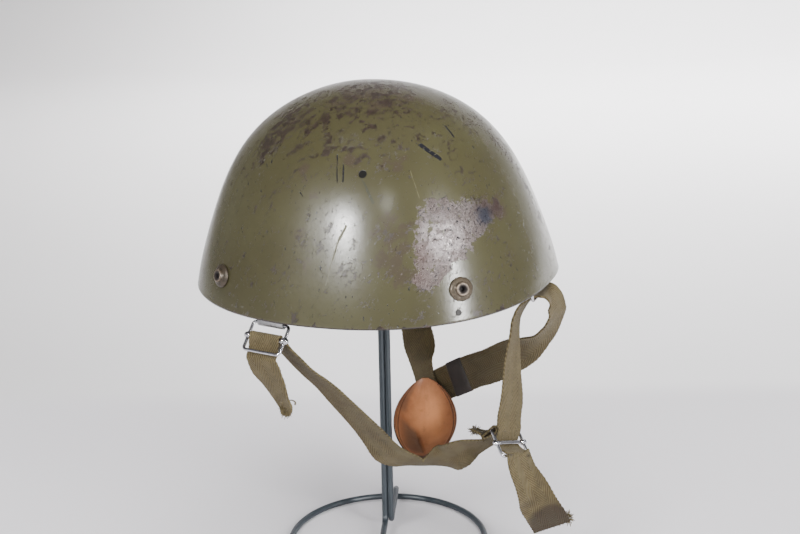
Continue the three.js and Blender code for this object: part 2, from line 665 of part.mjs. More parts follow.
// Stand: a wire ring, two rods side by side that bend into its legs, and a pad under the crown
function makeStand(helmetMatrix) {
  const forward = direction(LEG_ANGLE, 0);
  const aside = vec(-forward.y, forward.x, 0);
  const foot = vec(POST.x, POST.y, 0);
  const legHeight = ROD + ROD / 2 - WELD;
  const ringCentre = foot.clone().addScaledVector(forward, RING_FORWARD).addScaledVector(aside, RING_ASIDE);
  const ring = new THREE.TorusGeometry(RING_RADIUS, ROD / 2, RING_SIDES, RING_STEPS);
  ring.rotateZ(rad(LEG_ANGLE));
  ring.translate(ringCentre.x, ringCentre.y, ROD / 2);
  const floor = new THREE.BoxGeometry(4 * RING_RADIUS, 4 * RING_RADIUS, ROD);
  const flat = 0.25;
  floor.translate(0, 0, flat - ROD / 2);
  let solid = solidOf(ring).subtract(solidOf(floor)).translate([0, 0, -flat]);
  const inside = shellVolume(SHELL_WALL + GAP);
  const hollow = bodyFromRings(inside.rings, vec(0, 0, 0), inside.crown);
  hollow.applyMatrix4(helmetMatrix);
  const padBase = RIM_HEIGHT + SHELL_HEIGHT - SHELL_WALL - PAD_HEIGHT;
  const pad = new THREE.CylinderGeometry(PAD_RADIUS, PAD_RADIUS, 4 * PAD_HEIGHT, 24);
  pad.rotateX(Math.PI / 2);
  pad.translate(foot.x, foot.y, padBase + 2 * PAD_HEIGHT);
  solid = solid.add(solidOf(pad).intersect(solidOf(hollow)));
  const legs = [
    { way: forward, sideways: -1, hand: -1, reach: RING_RADIUS + RING_FORWARD + LEG_OVERHANG },
    { way: forward.clone().negate(), sideways: 1, hand: 1, reach: RING_RADIUS - RING_FORWARD + LEG_OVERHANG },
  ];
  for (const leg of legs) {
    solid = solid.add(rod(foot, aside, leg, legHeight, padBase + 1));
  }
  return meshOf('stand', geometryOf(solid), STAND_PAINT);
}

// A rod that comes down, bends and runs out along its leg
function rod(foot, aside, leg, legHeight, top) {
  const start = foot.clone().addScaledVector(aside, (leg.sideways * ROD_SPACING) / 2);
  const point = (out, height) => start.clone().addScaledVector(leg.way, out).setZ(height);
  const section = (centre, tilt) => {
    const up = vec(0, 0, Math.sin(tilt)).addScaledVector(leg.way, Math.cos(tilt));
    const ring = [];
    for (let i = 0; i < ROD_SIDES; i += 1) {
      const angle = ((i + 0.5) / ROD_SIDES) * 2 * Math.PI;
      const corner = centre.clone().addScaledVector(up, (ROD / 2) * Math.cos(angle));
      ring.push(corner.addScaledVector(aside, (ROD / 2) * Math.sin(angle) * leg.hand));
    }
    return ring;
  };
  const rings = [section(point(0, top), 0)];
  for (let i = 0; i <= BEND_STEPS; i += 1) {
    const tilt = (i / BEND_STEPS) * (Math.PI / 2);
    const centre = point(ROD_BEND * (1 - Math.cos(tilt)), legHeight + ROD_BEND * (1 - Math.sin(tilt)));
    rings.push(section(centre, tilt));
  }
  rings.push(section(point(leg.reach, legHeight), Math.PI / 2));
  return solidOf(bodyFromRings(rings, point(0, top), point(leg.reach, legHeight)));
}

// Assembly
const model = new THREE.Group();
model.position.copy(SCENE_SHIFT);

const helmet = new THREE.Group();
helmet.position.set(0, 0, RIM_HEIGHT);
helmet.rotation.copy(helmetTurn);
helmet.add(makeShell());
for (const rivet of RIVETS) {
  helmet.add(makeRivet(`${rivet.name}_left_rivet`, rivet));
  helmet.add(makeRivet(`${rivet.name}_right_rivet`, mirrored(rivet)));
}
helmet.add(makePlug());
helmet.updateMatrix();

const harness = new THREE.Group();
harness.position.set(0, 0, RIM_HEIGHT);
harness.add(...makeBuckle('left', leftBuckle));
harness.add(...makeBuckle('nape', napeBuckle));
harness.add(makeLink());
harness.add(makeLeftStrap());
harness.add(makeNapeStrap());
harness.add(makeRightStrap());
harness.add(makeHanger(
  'left_hanger',
  LEFT_HANGER_PLAN,
  leftBuckle.at(0, topBar, 0),
  leftBuckle.bar,
  BUCKLE_WIRE,
));
harness.add(makeHanger(
  'nape_hanger',
  NAPE_HANGER_PLAN,
  vec(...LINK.centre).add(vec(0, 0, LINK.height / 2)),
  vec(-1, 0, 0),
  LINK.wire,
));
harness.add(makeChinCup());

model.add(helmet, harness, makeStand(helmet.matrix));

export default model;
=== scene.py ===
"""Looks for a paratrooper helmet on its wire stand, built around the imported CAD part.

Lengths are millimetres in the helmet's and the harness's own frames, as in the part's source,
and mesh_piece turns them into metres in the row frame.
"""

import math

import bpy
import numpy as np
from mathutils import Euler, Matrix, Vector, noise


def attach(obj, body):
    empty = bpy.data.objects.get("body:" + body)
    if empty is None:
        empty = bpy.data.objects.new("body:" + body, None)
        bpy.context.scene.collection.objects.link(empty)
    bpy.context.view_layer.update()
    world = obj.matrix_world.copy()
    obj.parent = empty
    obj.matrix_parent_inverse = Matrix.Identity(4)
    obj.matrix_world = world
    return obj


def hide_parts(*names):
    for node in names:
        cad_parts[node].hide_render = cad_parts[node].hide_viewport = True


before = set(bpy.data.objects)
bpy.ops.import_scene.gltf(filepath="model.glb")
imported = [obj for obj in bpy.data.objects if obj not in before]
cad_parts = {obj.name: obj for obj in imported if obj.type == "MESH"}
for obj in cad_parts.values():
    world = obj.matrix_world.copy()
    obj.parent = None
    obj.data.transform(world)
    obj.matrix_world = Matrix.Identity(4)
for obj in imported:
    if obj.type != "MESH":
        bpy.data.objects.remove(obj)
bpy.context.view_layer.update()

MM = 0.001
X_WAY, Y_WAY, Z_WAY = np.eye(3)

# Clearance between pieces, as in the part's source
GAP = 0.3

# Shell, as in the part's source
SHELL_LENGTH = 272
SHELL_WIDTH = 239.4
SHELL_HEIGHT = 148.7
SHELL_WALL = 1.5
PLAN_POWER = 2.315
RIM_DIP = 3
PROFILE_FIRST = -0.02
PROFILE_THIRD = -0.009
PROFILE_SECOND = (PROFILE_FIRST + 3 * PROFILE_THIRD) / 2
SHELL_AROUND = 288
SHELL_UP = 96
RIVETS = [
    {"name": "front", "plan": -36, "rise": 9},
    {"name": "rear", "plan": 46, "rise": 8.8},
]
VENT = {"plan": 17, "rise": 43.3}
VENT_RADIUS = 3
PLUG = {"plan": 44.2, "rise": 2.7}

# Rivet's profile, as distance outward and radius: its inner flange, then its washer and collar
RIVET_INSIDE = [(-1, 1.8), (-1, 5.0), (-0.7, 5.2), (-0.3, 5.2), (-0.2, 2.7)]
RIVET_OUTSIDE = [
    (GAP, 2.7), (GAP, 8.3), (0.5, 8.45), (0.9, 8.4), (1.5, 7.9), (2.0, 7.0), (2.35, 6.1), (2.5, 5.6),
    (2.7, 5.2), (3.3, 4.95), (3.9, 4.9), (4.4, 4.65), (4.7, 4.1), (4.72, 3.3), (4.55, 2.6), (4.1, 2.05),
    (3.4, 1.85), (0.6, 1.8),
]
RIVET_HOLE = 3.1
PLUG_HOLE = 2.25
HOLE_SIDES = 32
HOLE_DEPTH = 8
HOLE_SHARPNESS = math.radians(50)

# Worn places of the paint, in the helmet's frame: x, y, z, radius, strength
WEAR = [
    (24, 14, 145, 36, 0.19),
    (40, -5, 140, 16, 0.14),
    (37, -39, 137, 19, 0.12),
    (59, -21, 128, 9, 0.13),
    (74, 16, 114, 8, 0.1),
    (60, 24, 128, 5, 0.26),
    (59, 28, 128, 3, 0.24),
    (65, 29, 122, 3.5, 0.2),
    (64, 36, 121, 4, 0.26),
    (67, 36, 118, 3, 0.22),
    (63, 45, 119, 3.5, 0.24),
    (65, 49, 115, 2.5, 0.24),
    (72, 24, 116, 3, 0.26),
    (71, 35, 114, 2.5, 0.2),
    (79, 24, 108, 3, 0.24),
    (76, 28, 111, 3, 0.2),
    (54, 0, 133, 4, 0.2),
    (67, 6, 123, 3.5, 0.2),
    (42, 32, 136, 3.5, 0.2),
    (46, 38, 133, 3.5, 0.17),
    (48, 24, 135, 4, 0.18),
    (35, 52, 133, 4, 0.2),
    (52, 61, 119, 5, 0.26),
    (77, 42, 105, 6, 0.13),
    (57, -47, 123, 4, 0.28),
    (74, -54, 102, 4, 0.22),
    (69, -72, 94, 3.5, 0.24),
    (90, -33, 87, 2, 0.2),
    (90, -46, 81, 2, 0.2),
    (82, -67, 78, 2, 0.18),
    (43, 77, 113, 9, 0.13),
    (50, 90, 94, 8, 0.14),
    (50, 99, 79, 9, 0.16),
    (5, 69, 129, 18, 0.12),
    (9, 80, 121, 13, 0.12),
    (-15, 81, 119, 16, 0.13),
    (-15, 99, 98, 14, 0.11),
    (-27, 114, 66, 14, 0.1),
    (-25, 130, 25, 13, 0.11),
    (101, 10, 65, 7, 0.14),
    (104, 26, 54, 6, 0.12),
    (109, 25, 36, 9, 0.14),
    (106, 4, 52, 6, 0.12),
    (105, -8, 56, 7, 0.12),
    (97, 49, 61, 10, 0.1),
    (101, -41, 56, 5, 0.14),
    (110, -30, 33, 5, 0.12),
    (97, 77, 26, 9, 0.1),
    (118, -13, 3, 5, 0.2),
    (94, 94, 3, 5, 0.18),
    (80, 109, 5, 7, 0.18),
]

# Worn strokes: from, to, radius, strength
STROKES = [
    ((54, -11, 133), (76, 2, 114), 4.5, 0.24),
    ((79, -9, 110), (77, 3, 113), 2.6, 0.24),
    ((63, -18, 126), (54, -10, 133), 3, 0.22),
    ((75, 6, 115), (74, 18, 115), 2.6, 0.27),
    ((71, 5, 119), (70, 14, 120), 2.4, 0.24),
    ((46, -9, 137), (46, 9, 138), 2.6, 0.28),
    ((71, -17, 118), (75, -24, 113), 2.6, 0.24),
    ((57, -30, 128), (66, -19, 123), 2.2, 0.22),
    ((68, -55, 110), (50, -41, 130), 11, 0.24),
    ((71, -47, 111), (56, -34, 128), 8, 0.21),
    ((51, 11, 135), (57, 19, 130), 2.4, 0.24),
    ((44, 65, 122), (40, 72, 117), 3.5, 0.17),
    ((38, -8, 140), (40, 40, 137), 9, 0.16),
    ((5, 69, 129), (-15, 99, 98), 8, 0.16),
    ((-18, 104, 90), (-27, 124, 40), 8, 0.17),
]

# The rubbed patch, and brown haze under the chips: x, y, z, radius, strength
PATCH = [
    (79, 76, 74, 8, 1),
    (70, 87, 73, 9, 1),
    (59, 98, 71, 9, 1),
    (46, 106, 69, 8, 1),
    (38, 110, 68, 6, 0.9),
    (84, 76, 63, 8, 0.95),
    (77, 87, 62, 10, 1),
    (68, 96, 61, 10, 1),
    (59, 104, 60, 8, 1),
    (88, 78, 51, 9, 1),
    (81, 88, 50, 10, 1),
    (74, 96, 50, 8, 1),
    (91, 79, 41, 9, 1),
    (86, 87, 41, 8, 1),
    (96, 77, 31, 7, 0.95),
    (93, 81, 33, 7, 0.95),
]
BROWN = [
    (22, 16, 146, 34, 0.75),
    (36, 111, 67, 10, 1),
    (46, 108, 76, 9, 0.7),
    (94, 54, 62, 15, 0.8),
    (99, 58, 47, 16, 0.85),
    (90, 72, 46, 12, 0.8),
    (95, 72, 33, 10, 0.8),
    (101, 60, 34, 10, 0.6),
    (82, 9, 105, 5, 0.7),
    (79, 18, 108, 6, 0.85),
    (82, 23, 103, 6, 0.7),
    (84, -15, 101, 4, 0.9),
    (89, -13, 94, 4, 0.75),
    (90, 1, 92, 5, 0.6),
    (93, -4, 86, 6, 0.6),
    (68, 54, 109, 4, 0.7),
    (74, 52, 103, 5, 0.7),
    (77, 43, 105, 6, 0.4),
    (88, -11, 96, 5, 0.5),
    (105, -8, 56, 14, 0.3),
    (108, -4, 36, 12, 0.25),
    (48, -40, 130, 22, 0.25),
]

# Wear added on the crown from a height up, and the share of the worn places on the hidden side
CROWN_WEAR = 0.03
CROWN_FROM = 92
CROWN_RISE = 40
FAR_SIDE_WEAR = 0.8

# Share of a spot's radius where it starts to fade, and where it has gone
WEAR_EDGES = (0.35, 1.25)
PATCH_EDGES = (0.5, 1.5)
BROWN_EDGES = (0.2, 1.4)
SOIL_AND_SHADE_EDGES = (0.6, 1.4)

# Single scratches, in the helmet's frame: from, to, half width, kind
SCRATCHES = [
    ((100.6, 22, 66.5), (103.5, 18, 58), 0.9, "matt"),
    ((103.5, 18, 58), (108.5, 14, 44), 0.55, "matt"),
    ((108.5, 14, 44), (113, 10, 27), 0.3, "matt"),
    ((78, 8, 111), (89, 12, 94), 0.4, "dark"),
    ((82, 14, 106), (88, 16, 95), 0.5, "dark"),
    ((77.5, -44, 103.5), (75, -44.5, 107.5), 0.55, "dark"),
    ((77, -48, 101.5), (78.5, -47, 99.5), 0.4, "dark"),
    ((79, -63.5, 90), (80, -63, 86.5), 0.45, "dark"),
    ((76, -74.5, 83.5), (77, -74, 80.5), 0.45, "dark"),
    ((73, -86, 71), (73.5, -86, 69), 0.4, "dark"),
    ((94, -13, 84.5), (92.5, -15.5, 86.5), 0.45, "dark"),
    ((87, -49, 85), (87.3, -48.7, 83.6), 0.5, "dark"),
    ((56.5, 62.5, 115.5), (55.5, 76, 106.5), 1.6, "dark"),
    ((30, 71, 124), (33, 78, 117), 0.7, "dark"),
    ((25, 89, 109), (27, 93, 106), 0.5, "dark"),
    ((22, 99, 95), (24, 101, 92), 0.5, "dark"),
    ((57, 64, 113.5), (54, 67, 115), 0.25, "pale"),
    ((56.5, 67.5, 111), (53.5, 70.5, 112.5), 0.25, "pale"),
    ((56, 71, 108.5), (53, 74, 110), 0.25, "pale"),
    ((72, 60, 101), (79, 69, 83), 0.3, "pale"),
    ((18, 101, 95), (48, 97, 84), 0.22, "pale"),
    ((50, 58, 119), (58, 52, 118), 0.25, "pale"),
    ((60, 57, 114), (66, 54, 112), 0.22, "pale"),
    ((57, 46, 122), (57.4, 46.8, 121.6), 0.6, "pale"),
    ((87, 31, 95), (91, 39, 82), 1.0, "dull"),
    ((85, 28, 98), (88, 33, 91), 0.4, "dull"),
]

# How the helmet sits
RIM_HEIGHT = 214.3
HELMET_TURN = Euler([math.radians(a) for a in (1.2, 0.9, 0.4)], "XYZ")
SCENE_SHIFT = Vector((-4.2, -8, 0))

# Stand
ROD = 4.8
ROD_SPACING = 4.6
ROD_BEND = 7
WELD = 0.7
RING_RADIUS = 76.5
POST = (-1.3, 3.1)
LEG_ANGLE = 19
RING_FORWARD = 20.6
RING_ASIDE = 1.4
RING_SINK = 0.25
LEG_OVERHANG = 6
PAD_RADIUS = 24
PAD_HEIGHT = 6
PAD_CURVE = 1.25
ROD_SIDES = 20

# Webbing and buckles
STRAP_WIDTH = 28
STRAP_THICK = 1.7
CAD_STRAP_THICK = 1.8
WRAP_HALF = 1.0
LOOP_LEAD = 15
LOOP_HALF_OPEN = 1.2
BUCKLED_WIDTH = 26
BUCKLE_WIDTH = 32
BUCKLE_HEIGHT = 22
BUCKLE_WIRE = 2.4
BUCKLE_CORNER = 2.6
BAR_HEIGHT = 3
BAR_THICK = 1.6
KNOB_LENGTH = 7
KNOB_RADIUS = 2.5
KNOB_WAIST = 0.16
BAR_INSET = 2.2
BAR_CORNER = 0.55
WIRE_SIDES = 16
LEFT_BUCKLE = {"centre": (117.3, -35.9, -17.3), "turn": 79.3, "lean": 1.5, "swing": 41}
NAPE_BUCKLE = {"centre": (18.4, 112.6, -115.1), "turn": 159, "lean": -16.7, "swing": 42.5}
LINK_CENTRE = np.array([0, 128.6, 0.2])
LINK_WIDTH = 32
LINK_HEIGHT = 7.2
LINK_WIRE = 2.2
LINK_CORNER = 2.6
SHEET_THICK = 0.8
SHEET_WIDTH = 22.5
WALL_RISES = (11, 7, 3.5)
HANGER_LEAD = 4

# Strap routes from the rim's centre: x, y, z, turn, lean, width
LEFT_TAIL = [
    (114, -25, -75, 74, 12, 8),
    (115, -24.5, -69, 71, 8, 14),
    (117.5, -27.5, -60, 66, 3, 21),
    (120.5, -30.5, -49, 73, 8, 24),
    (123, -34.5, -39, 78, 3, 28),
]
LEFT_STRAP = [
    (104, -27, -31, 58, 5, 28),
    (95, -22, -43, 62, 2, 28),
    (83.5, -15, -57, 65, 6, 28),
    (71.5, -7.5, -72, 67, 8, 28),
    (58.5, 0.5, -90.5, 70, 11, 28),
    (46.5, 8, -107.5, 75, 13, 28),
    (36, 14, -123.5, 81, 16, 28),
    (27.5, 19, -136, 84, 30, 28),
    (17.5, 27.5, -143.5, 67, 35, 28),
    (8, 36, -148, 33, 31, 26),
    (5, 51.5, -143.5, 25, 51, 28),
    (9, 63, -138, -3, 62, 28),
    (13.5, 75, -128, -15, 48, 28),
]
NAPE_TAIL = [
    (-2, 138.5, -187, 114, 8, 30),
    (3, 136.5, -178.5, 114, 10, 30),
    (9, 132.5, -167, 120, 8, 29),
    (14.5, 129, -153, 146, 4, 28),
    (19.5, 124.5, -138.5, 160, -6, 27),
]
NAPE_NEAR = [
    (14.5, 110.5, -98, 161, -18, 28),
    (15, 112.5, -81, 164, -18, 28),
    (15, 112.5, -60.5, 172, -18, 28),
    (14.5, 113, -45, 177, -18, 28),
    (13, 114, -32, 184, -17, 28),
    (9.5, 114.5, -19.5, 186, -14, 28),
    (4.5, 118, -11, 182, -8, 27),
]
NAPE_FAR = [
    (-1.5, 133, -1.6, 181, -3, 26.5),
    (-4.5, 137, -5.5, 178, 9, 28),
    (-7, 139.5, -13, 175, 14, 28),
    (-9.5, 138.5, -20, 169, 8, 28),
    (-14, 135, -27.5, 172, -6, 28),
    (-20, 127.5, -38.5, 173, -18, 28),
    (-27, 116, -50, 163, -35, 28),
    (-34, 104, -61, 142, -58, 28),
    (-42, 89, -72, 120, -72, 28),
    (-52, 72, -84, 95, -76, 28),
    (-63, 53, -95, 75, -68, 28),
]
RIGHT_STRAP = [
    (-112, -34, -8, 264, -4, 28),
    (-110, -25.5, -38, 262, -8, 28),
    (-106.5, -16.5, -66, 259, -12, 28),
    (-98, -7, -91, 275, -10, 28),
    (-94, -4.5, -103, 247, -14, 28),
]
RIGHT_STRAP_PLAN = 197
LEFT_HANGER_PLAN = -15.6
NAPE_HANGER_PLAN = 90
SEAM_CENTRE = (-90, 6, -127)
SEAM_TURN = -32
SEAM_LEAN = 3
SEAM_NAPE_SLOPE = -58
SEAM_RIGHT_SLOPE = 30
SEAM_REACH = 14
BAND_FROM = 47
BAND_TO = 69
BAND_LIFT = 1.9

# Only in the looks: the loop's raw end at the nape buckle, the tail's last row and a curled thread
LOOP_TAIL = [(12, 88.5, -113, 5, 16, 20), (12, 81, -111.5, 22, 17, 14)]
TAIL_TIP = (-3.8, 139.2, -190.2, 114, 8, 30)
LEFT_CURL = [
    (114.5, -25, -66.5),
    (114, -23.2, -64.8),
    (114.3, -19.3, -63.4),
    (114, -16.6, -64.7),
    (113.8, -17.1, -66.8),
]

# Chin cup
CUP_LEFT_TIP = (5, 36.3, -145.2)
CUP_RIGHT_TIP = (-79.5, 5, -113)
CUP_SIDE_TURN = 105
CUP_HALF_WIDTH = 24.5
CUP_SAG = 17
CUP_TIP = 3
CUP_STEPS = 110
CUP_ACROSS = 96

# Depths of its layers below the cup's face, and its stitches
LINING_OVER = -0.5
LINING_UNDER = 1.6
BACKING_OVER = 1.65
BACKING_UNDER = 3.0
STITCH_OVER = -0.62
STITCH_LINES = (-0.865, 0.865, 0.93)
STITCHES = 46
STITCH_RADIUS = 0.22

# Direction of the paint's streaks, and how much the noise is drawn out along it
STREAK_WAY = (-0.28, 0.65, 0.707)
STREAK_SQUEEZE = 0.6

# Colours
OLIVE_DEEP = (0.05, 0.045, 0.0205)
OLIVE_PALE = (0.062, 0.058, 0.027)
# The inside, painted near black as painted shade
INSIDE_PAINTED_SHADE = (0.008, 0.007, 0.005)
HAZE_BROWN = (0.05, 0.036, 0.027)
PRIMER_DEEP = (0.016, 0.0095, 0.0075)
PRIMER_PALE = (0.034, 0.022, 0.018)
BROWN_RED = (0.05, 0.026, 0.02)
RUBBED_DEEP = (0.075, 0.06, 0.055)
RUBBED_PALE = (0.125, 0.106, 0.1)
RUBBED_MAUVE = (0.06, 0.043, 0.038)
# Painted highlight at the rubbed patch's middle
RUBBED_HIGHLIGHT = (0.4, 0.36, 0.355)
BLUE_GREY = (0.026, 0.03, 0.045)
SCRATCH_GREEN = (0.12, 0.115, 0.06)
SCRATCH_PALE = (0.2, 0.18, 0.1)
SCRATCH_DULL = (0.03, 0.036, 0.03)
NICK_DARK = (0.012, 0.012, 0.015)
# The rim edge's dark, partly painted shade under the rim
RIM_EDGE_AND_SHADE = (0.022, 0.016, 0.013)
RIM_RED = (0.08, 0.04, 0.028)
WEB_DEEP = (0.068, 0.05, 0.021)
WEB_MID = (0.112, 0.087, 0.04)
WEB_PALE = (0.19, 0.153, 0.075)
# Dirt on the webbing, and painted shade on the far straps
WEB_DIRT_AND_SHADE = (0.028, 0.019, 0.012)
LEATHER_DEEP = (0.36, 0.14, 0.06)
LEATHER_PALE = (0.54, 0.23, 0.105)
# Painted light on the lit middle of the cup's lining
LEATHER_PAINTED_LIGHT = (0.95, 0.4, 0.175)
# Painted shade in the cup's hollow and along its left edge
LEATHER_PAINTED_SHADE = (0.13, 0.085, 0.06)
LEATHER_BLOTCH = (0.2, 0.085, 0.045)
LEATHER_SEAM = (0.11, 0.045, 0.025)
LEATHER_TIP = (0.035, 0.026, 0.026)
BACKING_DEEP = (0.02, 0.012, 0.009)
BACKING_PALE = (0.05, 0.032, 0.023)
# The sewn band's near-black colour is painted shade
BAND_SHADE_DEEP = (0.017, 0.0115, 0.009)
BAND_SHADE_PALE = (0.034, 0.024, 0.019)
RIVET_COLOURS = {
    "front": ((0.06, 0.045, 0.03), (0.035, 0.027, 0.018)),
    "rear": ((0.105, 0.082, 0.056), (0.05, 0.04, 0.026)),
}
RIVET_WORN = (0.27, 0.21, 0.16)
# Painted shade inside the rivet's collar
RIVET_HOLE_SHADE = (0.01, 0.006, 0.005)
PLUG_COLOURS = (0.014, 0.012, 0.01), (0.009, 0.008, 0.007)
NICKEL_COLOURS = (0.6, 0.6, 0.63), (0.4, 0.385, 0.38)
SHEET_COLOURS = (0.36, 0.36, 0.36), (0.27, 0.265, 0.26)
STAND_DEEP = (0.028, 0.036, 0.044)
STAND_PALE = (0.05, 0.062, 0.072)
NEAR_DEEP = (0.7, 0.68, 0.71)
NEAR_PALE = (0.74, 0.72, 0.75)
FAR_DEEP = (0.8, 0.785, 0.8)
FAR_PALE = (0.86, 0.85, 0.86)
# Painted shade on the left of the far floor and backdrop
FAR_PAINTED_SHADE = (0.6, 0.585, 0.59)
ROOM_LOW = (0.72, 0.71, 0.74)
ROOM_HIGH = (0.3, 0.295, 0.295)

# Floor and backdrop: one sheet that bends up behind the helmet; the table's edge is in metres
FLOOR_FRONT = 4500
FLOOR_BACK = 2300
BACKDROP_RADIUS = 700
BACKDROP_HEIGHT = 2600
FLOOR_HALF = 4500
TABLE_EDGE = 0.3
LIGHT_TARGET = 220
BACKDROP_SPREAD = math.radians(110)

# Camera, in the row frame
CAMERA_PLACE = (999.6, 436.3, 546.7)
CAMERA_AZIMUTH = 113.0
CAMERA_PITCH = 16.6
CAMERA_ROLL = -1.1
CAMERA_LENS = 67.5
SENSOR_WIDTH = 36
AZIMUTH = math.radians(CAMERA_AZIMUTH)
TOWARD = Vector((math.sin(AZIMUTH), -math.cos(AZIMUTH), 0))
LEVEL = Vector((math.cos(AZIMUTH), math.sin(AZIMUTH), 0))


def add_object(name, data):
    made = bpy.data.objects.new(name, data)
    bpy.context.scene.collection.objects.link(made)
    return made


def make_camera():
    pitch, roll = math.radians(CAMERA_PITCH), math.radians(CAMERA_ROLL)
    back = TOWARD * math.cos(pitch) + Vector(Z_WAY) * math.sin(pitch)
    upright = back.cross(LEVEL)
    right = LEVEL * math.cos(roll) + upright * math.sin(roll)
    up = upright * math.cos(roll) - LEVEL * math.sin(roll)
    data = bpy.data.cameras.new("camera")
    data.lens, data.sensor_width, data.clip_start = CAMERA_LENS, SENSOR_WIDTH, 0.01
    camera = add_object("camera", data)
    turn = Matrix((right, up, back)).transposed()
    camera.matrix_world = Matrix.Translation(Vector(CAMERA_PLACE) * MM) @ turn.to_4x4()
    bpy.context.scene.camera = camera


make_camera()


# Placements of the harness, the helmet and the stand
harness_matrix = Matrix.Translation(SCENE_SHIFT + Vector((0, 0, RIM_HEIGHT)))
helmet_matrix = harness_matrix @ HELMET_TURN.to_matrix().to_4x4()
stand_matrix = Matrix.Translation(SCENE_SHIFT)


def place_points(matrix, points):
    return np.asarray(points, float) @ np.array(matrix.to_3x3()).T + np.array(matrix.translation)


def smooth(data):
    data.polygons.foreach_set("use_smooth", [True] * len(data.polygons))


def put_fields(data, fields):
    for name, values in fields.items():
        attribute = data.attributes.new(name, "FLOAT", "POINT")
        attribute.data.foreach_set("value", np.asarray(values, np.float32))


def mesh_piece(name, mesh, replaces=(), fields=None, matrix=harness_matrix):
    """A smooth mesh from millimetre points, faces and perhaps uv, riding on the one body."""
    points, faces, *uv = mesh
    data = bpy.data.meshes.new(name)
    data.from_pydata((place_points(matrix, points) * MM).tolist(), [], [list(f) for f in faces])
    smooth(data)
    if uv:
        layer = data.uv_layers.new(name="UVMap")
        corner = np.zeros(len(data.loops), int)
        data.loops.foreach_get("vertex_index", corner)
        layer.data.foreach_set("uv", np.asarray(uv[0], np.float32)[corner].ravel())
    put_fields(data, fields or {})
    data.validate()
    piece = add_object(name, data)
    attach(piece, "root")
    if replaces:
        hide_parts(*replaces)
    return piece


def ring(centre, a, b, sides):
    """Points round a centre, with a and b as the two radii."""
    turns = np.arange(sides) * 2 * np.pi / sides
    return np.asarray(centre) + np.outer(np.cos(turns), a) + np.outer(np.sin(turns), b)


def sweep(centres, sections, closed=False):
    """Points and faces through rings of equal length, with fans at the two ends."""
    rows, columns = len(sections), len(sections[0])
    points = np.concatenate(sections)
    faces = []
    for i in range(rows if closed else rows - 1):
        low, high = i * columns, (i + 1) % rows * columns
        for j in range(columns):
            k = (j + 1) % columns
            faces.append((low + j, low + k, high + k, high + j))
    if not closed:
        points = np.concatenate([points, [centres[0], centres[-1]]])
        end, last = len(points) - 1, (rows - 1) * columns
        for j in range(columns):
            k = (j + 1) % columns
            faces.append((end - 1, k, j))
            faces.append((end, last + j, last + k))
    return points, faces


def join_meshes(parts):
    """One mesh from several; threads, which have no uv, get one spot of the weave."""
    points, faces, uv, base = [], [], [], 0
    for own_points, own_faces, *own_uv in parts:
        points.append(np.asarray(own_points, float))
        faces += [tuple(base + k for k in f) for f in own_faces]
        uv += list(own_uv[0]) if own_uv else [THREAD_UV] * len(own_points)
        base += len(own_points)
    return np.concatenate(points), faces, uv


def unit(v):
    return v / np.linalg.norm(v)


def direction(turn, lean):
    """A unit vector from its angles in degrees, in plan and above the level."""
    flat = math.cos(math.radians(lean))
    return np.array([
        flat * math.cos(math.radians(turn)),
        flat * math.sin(math.radians(turn)),
        math.sin(math.radians(lean)),
    ])


# Shell surface, as in the part's source
def shell_surface(plan, rise):
    scale = (
        1
        + PROFILE_FIRST * np.sin(2 * rise)
        + PROFILE_SECOND * np.sin(4 * rise)
        + PROFILE_THIRD * np.sin(6 * rise)
    )
    out = scale * np.cos(rise)
    up = scale * np.sin(rise)
    cos, sin = np.cos(plan), np.sin(plan)
    reach = (np.abs(cos) ** PLAN_POWER + np.abs(sin) ** PLAN_POWER) ** (-1 / PLAN_POWER)
    dip = (1 - np.minimum(up, 1)) * RIM_DIP * np.cos(2 * plan)
    x = SHELL_WIDTH / 2 * out * reach * cos
    y = SHELL_LENGTH / 2 * out * reach * sin
    return np.stack([x, y, SHELL_HEIGHT * up - dip], -1)


def shell_normal(plan, rise):
    step = 1e-3
    under = np.minimum(rise, np.pi / 2 - 2 * step)
    along = shell_surface(plan + step, under) - shell_surface(plan - step, under)
    upward = shell_surface(plan, under + step) - shell_surface(plan, under - step)
    normal = np.cross(along, upward)
    return normal / np.linalg.norm(normal, axis=-1, keepdims=True)


def shell_placement(place):
    """The frame on the shell at a place, with its z axis outward."""
    plan, rise = math.radians(place["plan"]), math.radians(place["rise"])
    out = Vector(shell_normal(plan, rise))
    along = Vector((-out.y, out.x, 0)).normalized()
    basis = Matrix((along, out.cross(along), out)).transposed().to_4x4()
    return helmet_matrix @ Matrix.Translation(Vector(shell_surface(plan, rise))) @ basis


def cut_holes(piece, cutters):
    """Cuts round holes, each a place on the shell and a radius, and keeps the mesh smooth."""
    tubes = []
    for place, radius in cutters:
        circle = ring(np.zeros(3), X_WAY * radius, Y_WAY * radius, HOLE_SIDES)
        rings = [place_points(shell_placement(place), circle + Z_WAY * depth)
                 for depth in (-HOLE_DEPTH, HOLE_DEPTH)]
        tubes.append(sweep([r.mean(0) for r in rings], rings))
    points, faces, _ = join_meshes(tubes)
    data = bpy.data.meshes.new("hole_cutters")
    data.from_pydata((points * MM).tolist(), [], faces)
    data.update()
    cutter = add_object("hole_cutters", data)
    modifier = piece.modifiers.new("holes", "BOOLEAN")
    modifier.operation, modifier.solver, modifier.object = "DIFFERENCE", "EXACT", cutter
    graph = bpy.context.evaluated_depsgraph_get()
    cut = bpy.data.meshes.new_from_object(piece.evaluated_get(graph))
    piece.modifiers.clear()
    piece.data = cut
    bpy.data.objects.remove(cutter)
    smooth(cut)
    cut.set_sharp_from_angle(angle=HOLE_SHARPNESS)


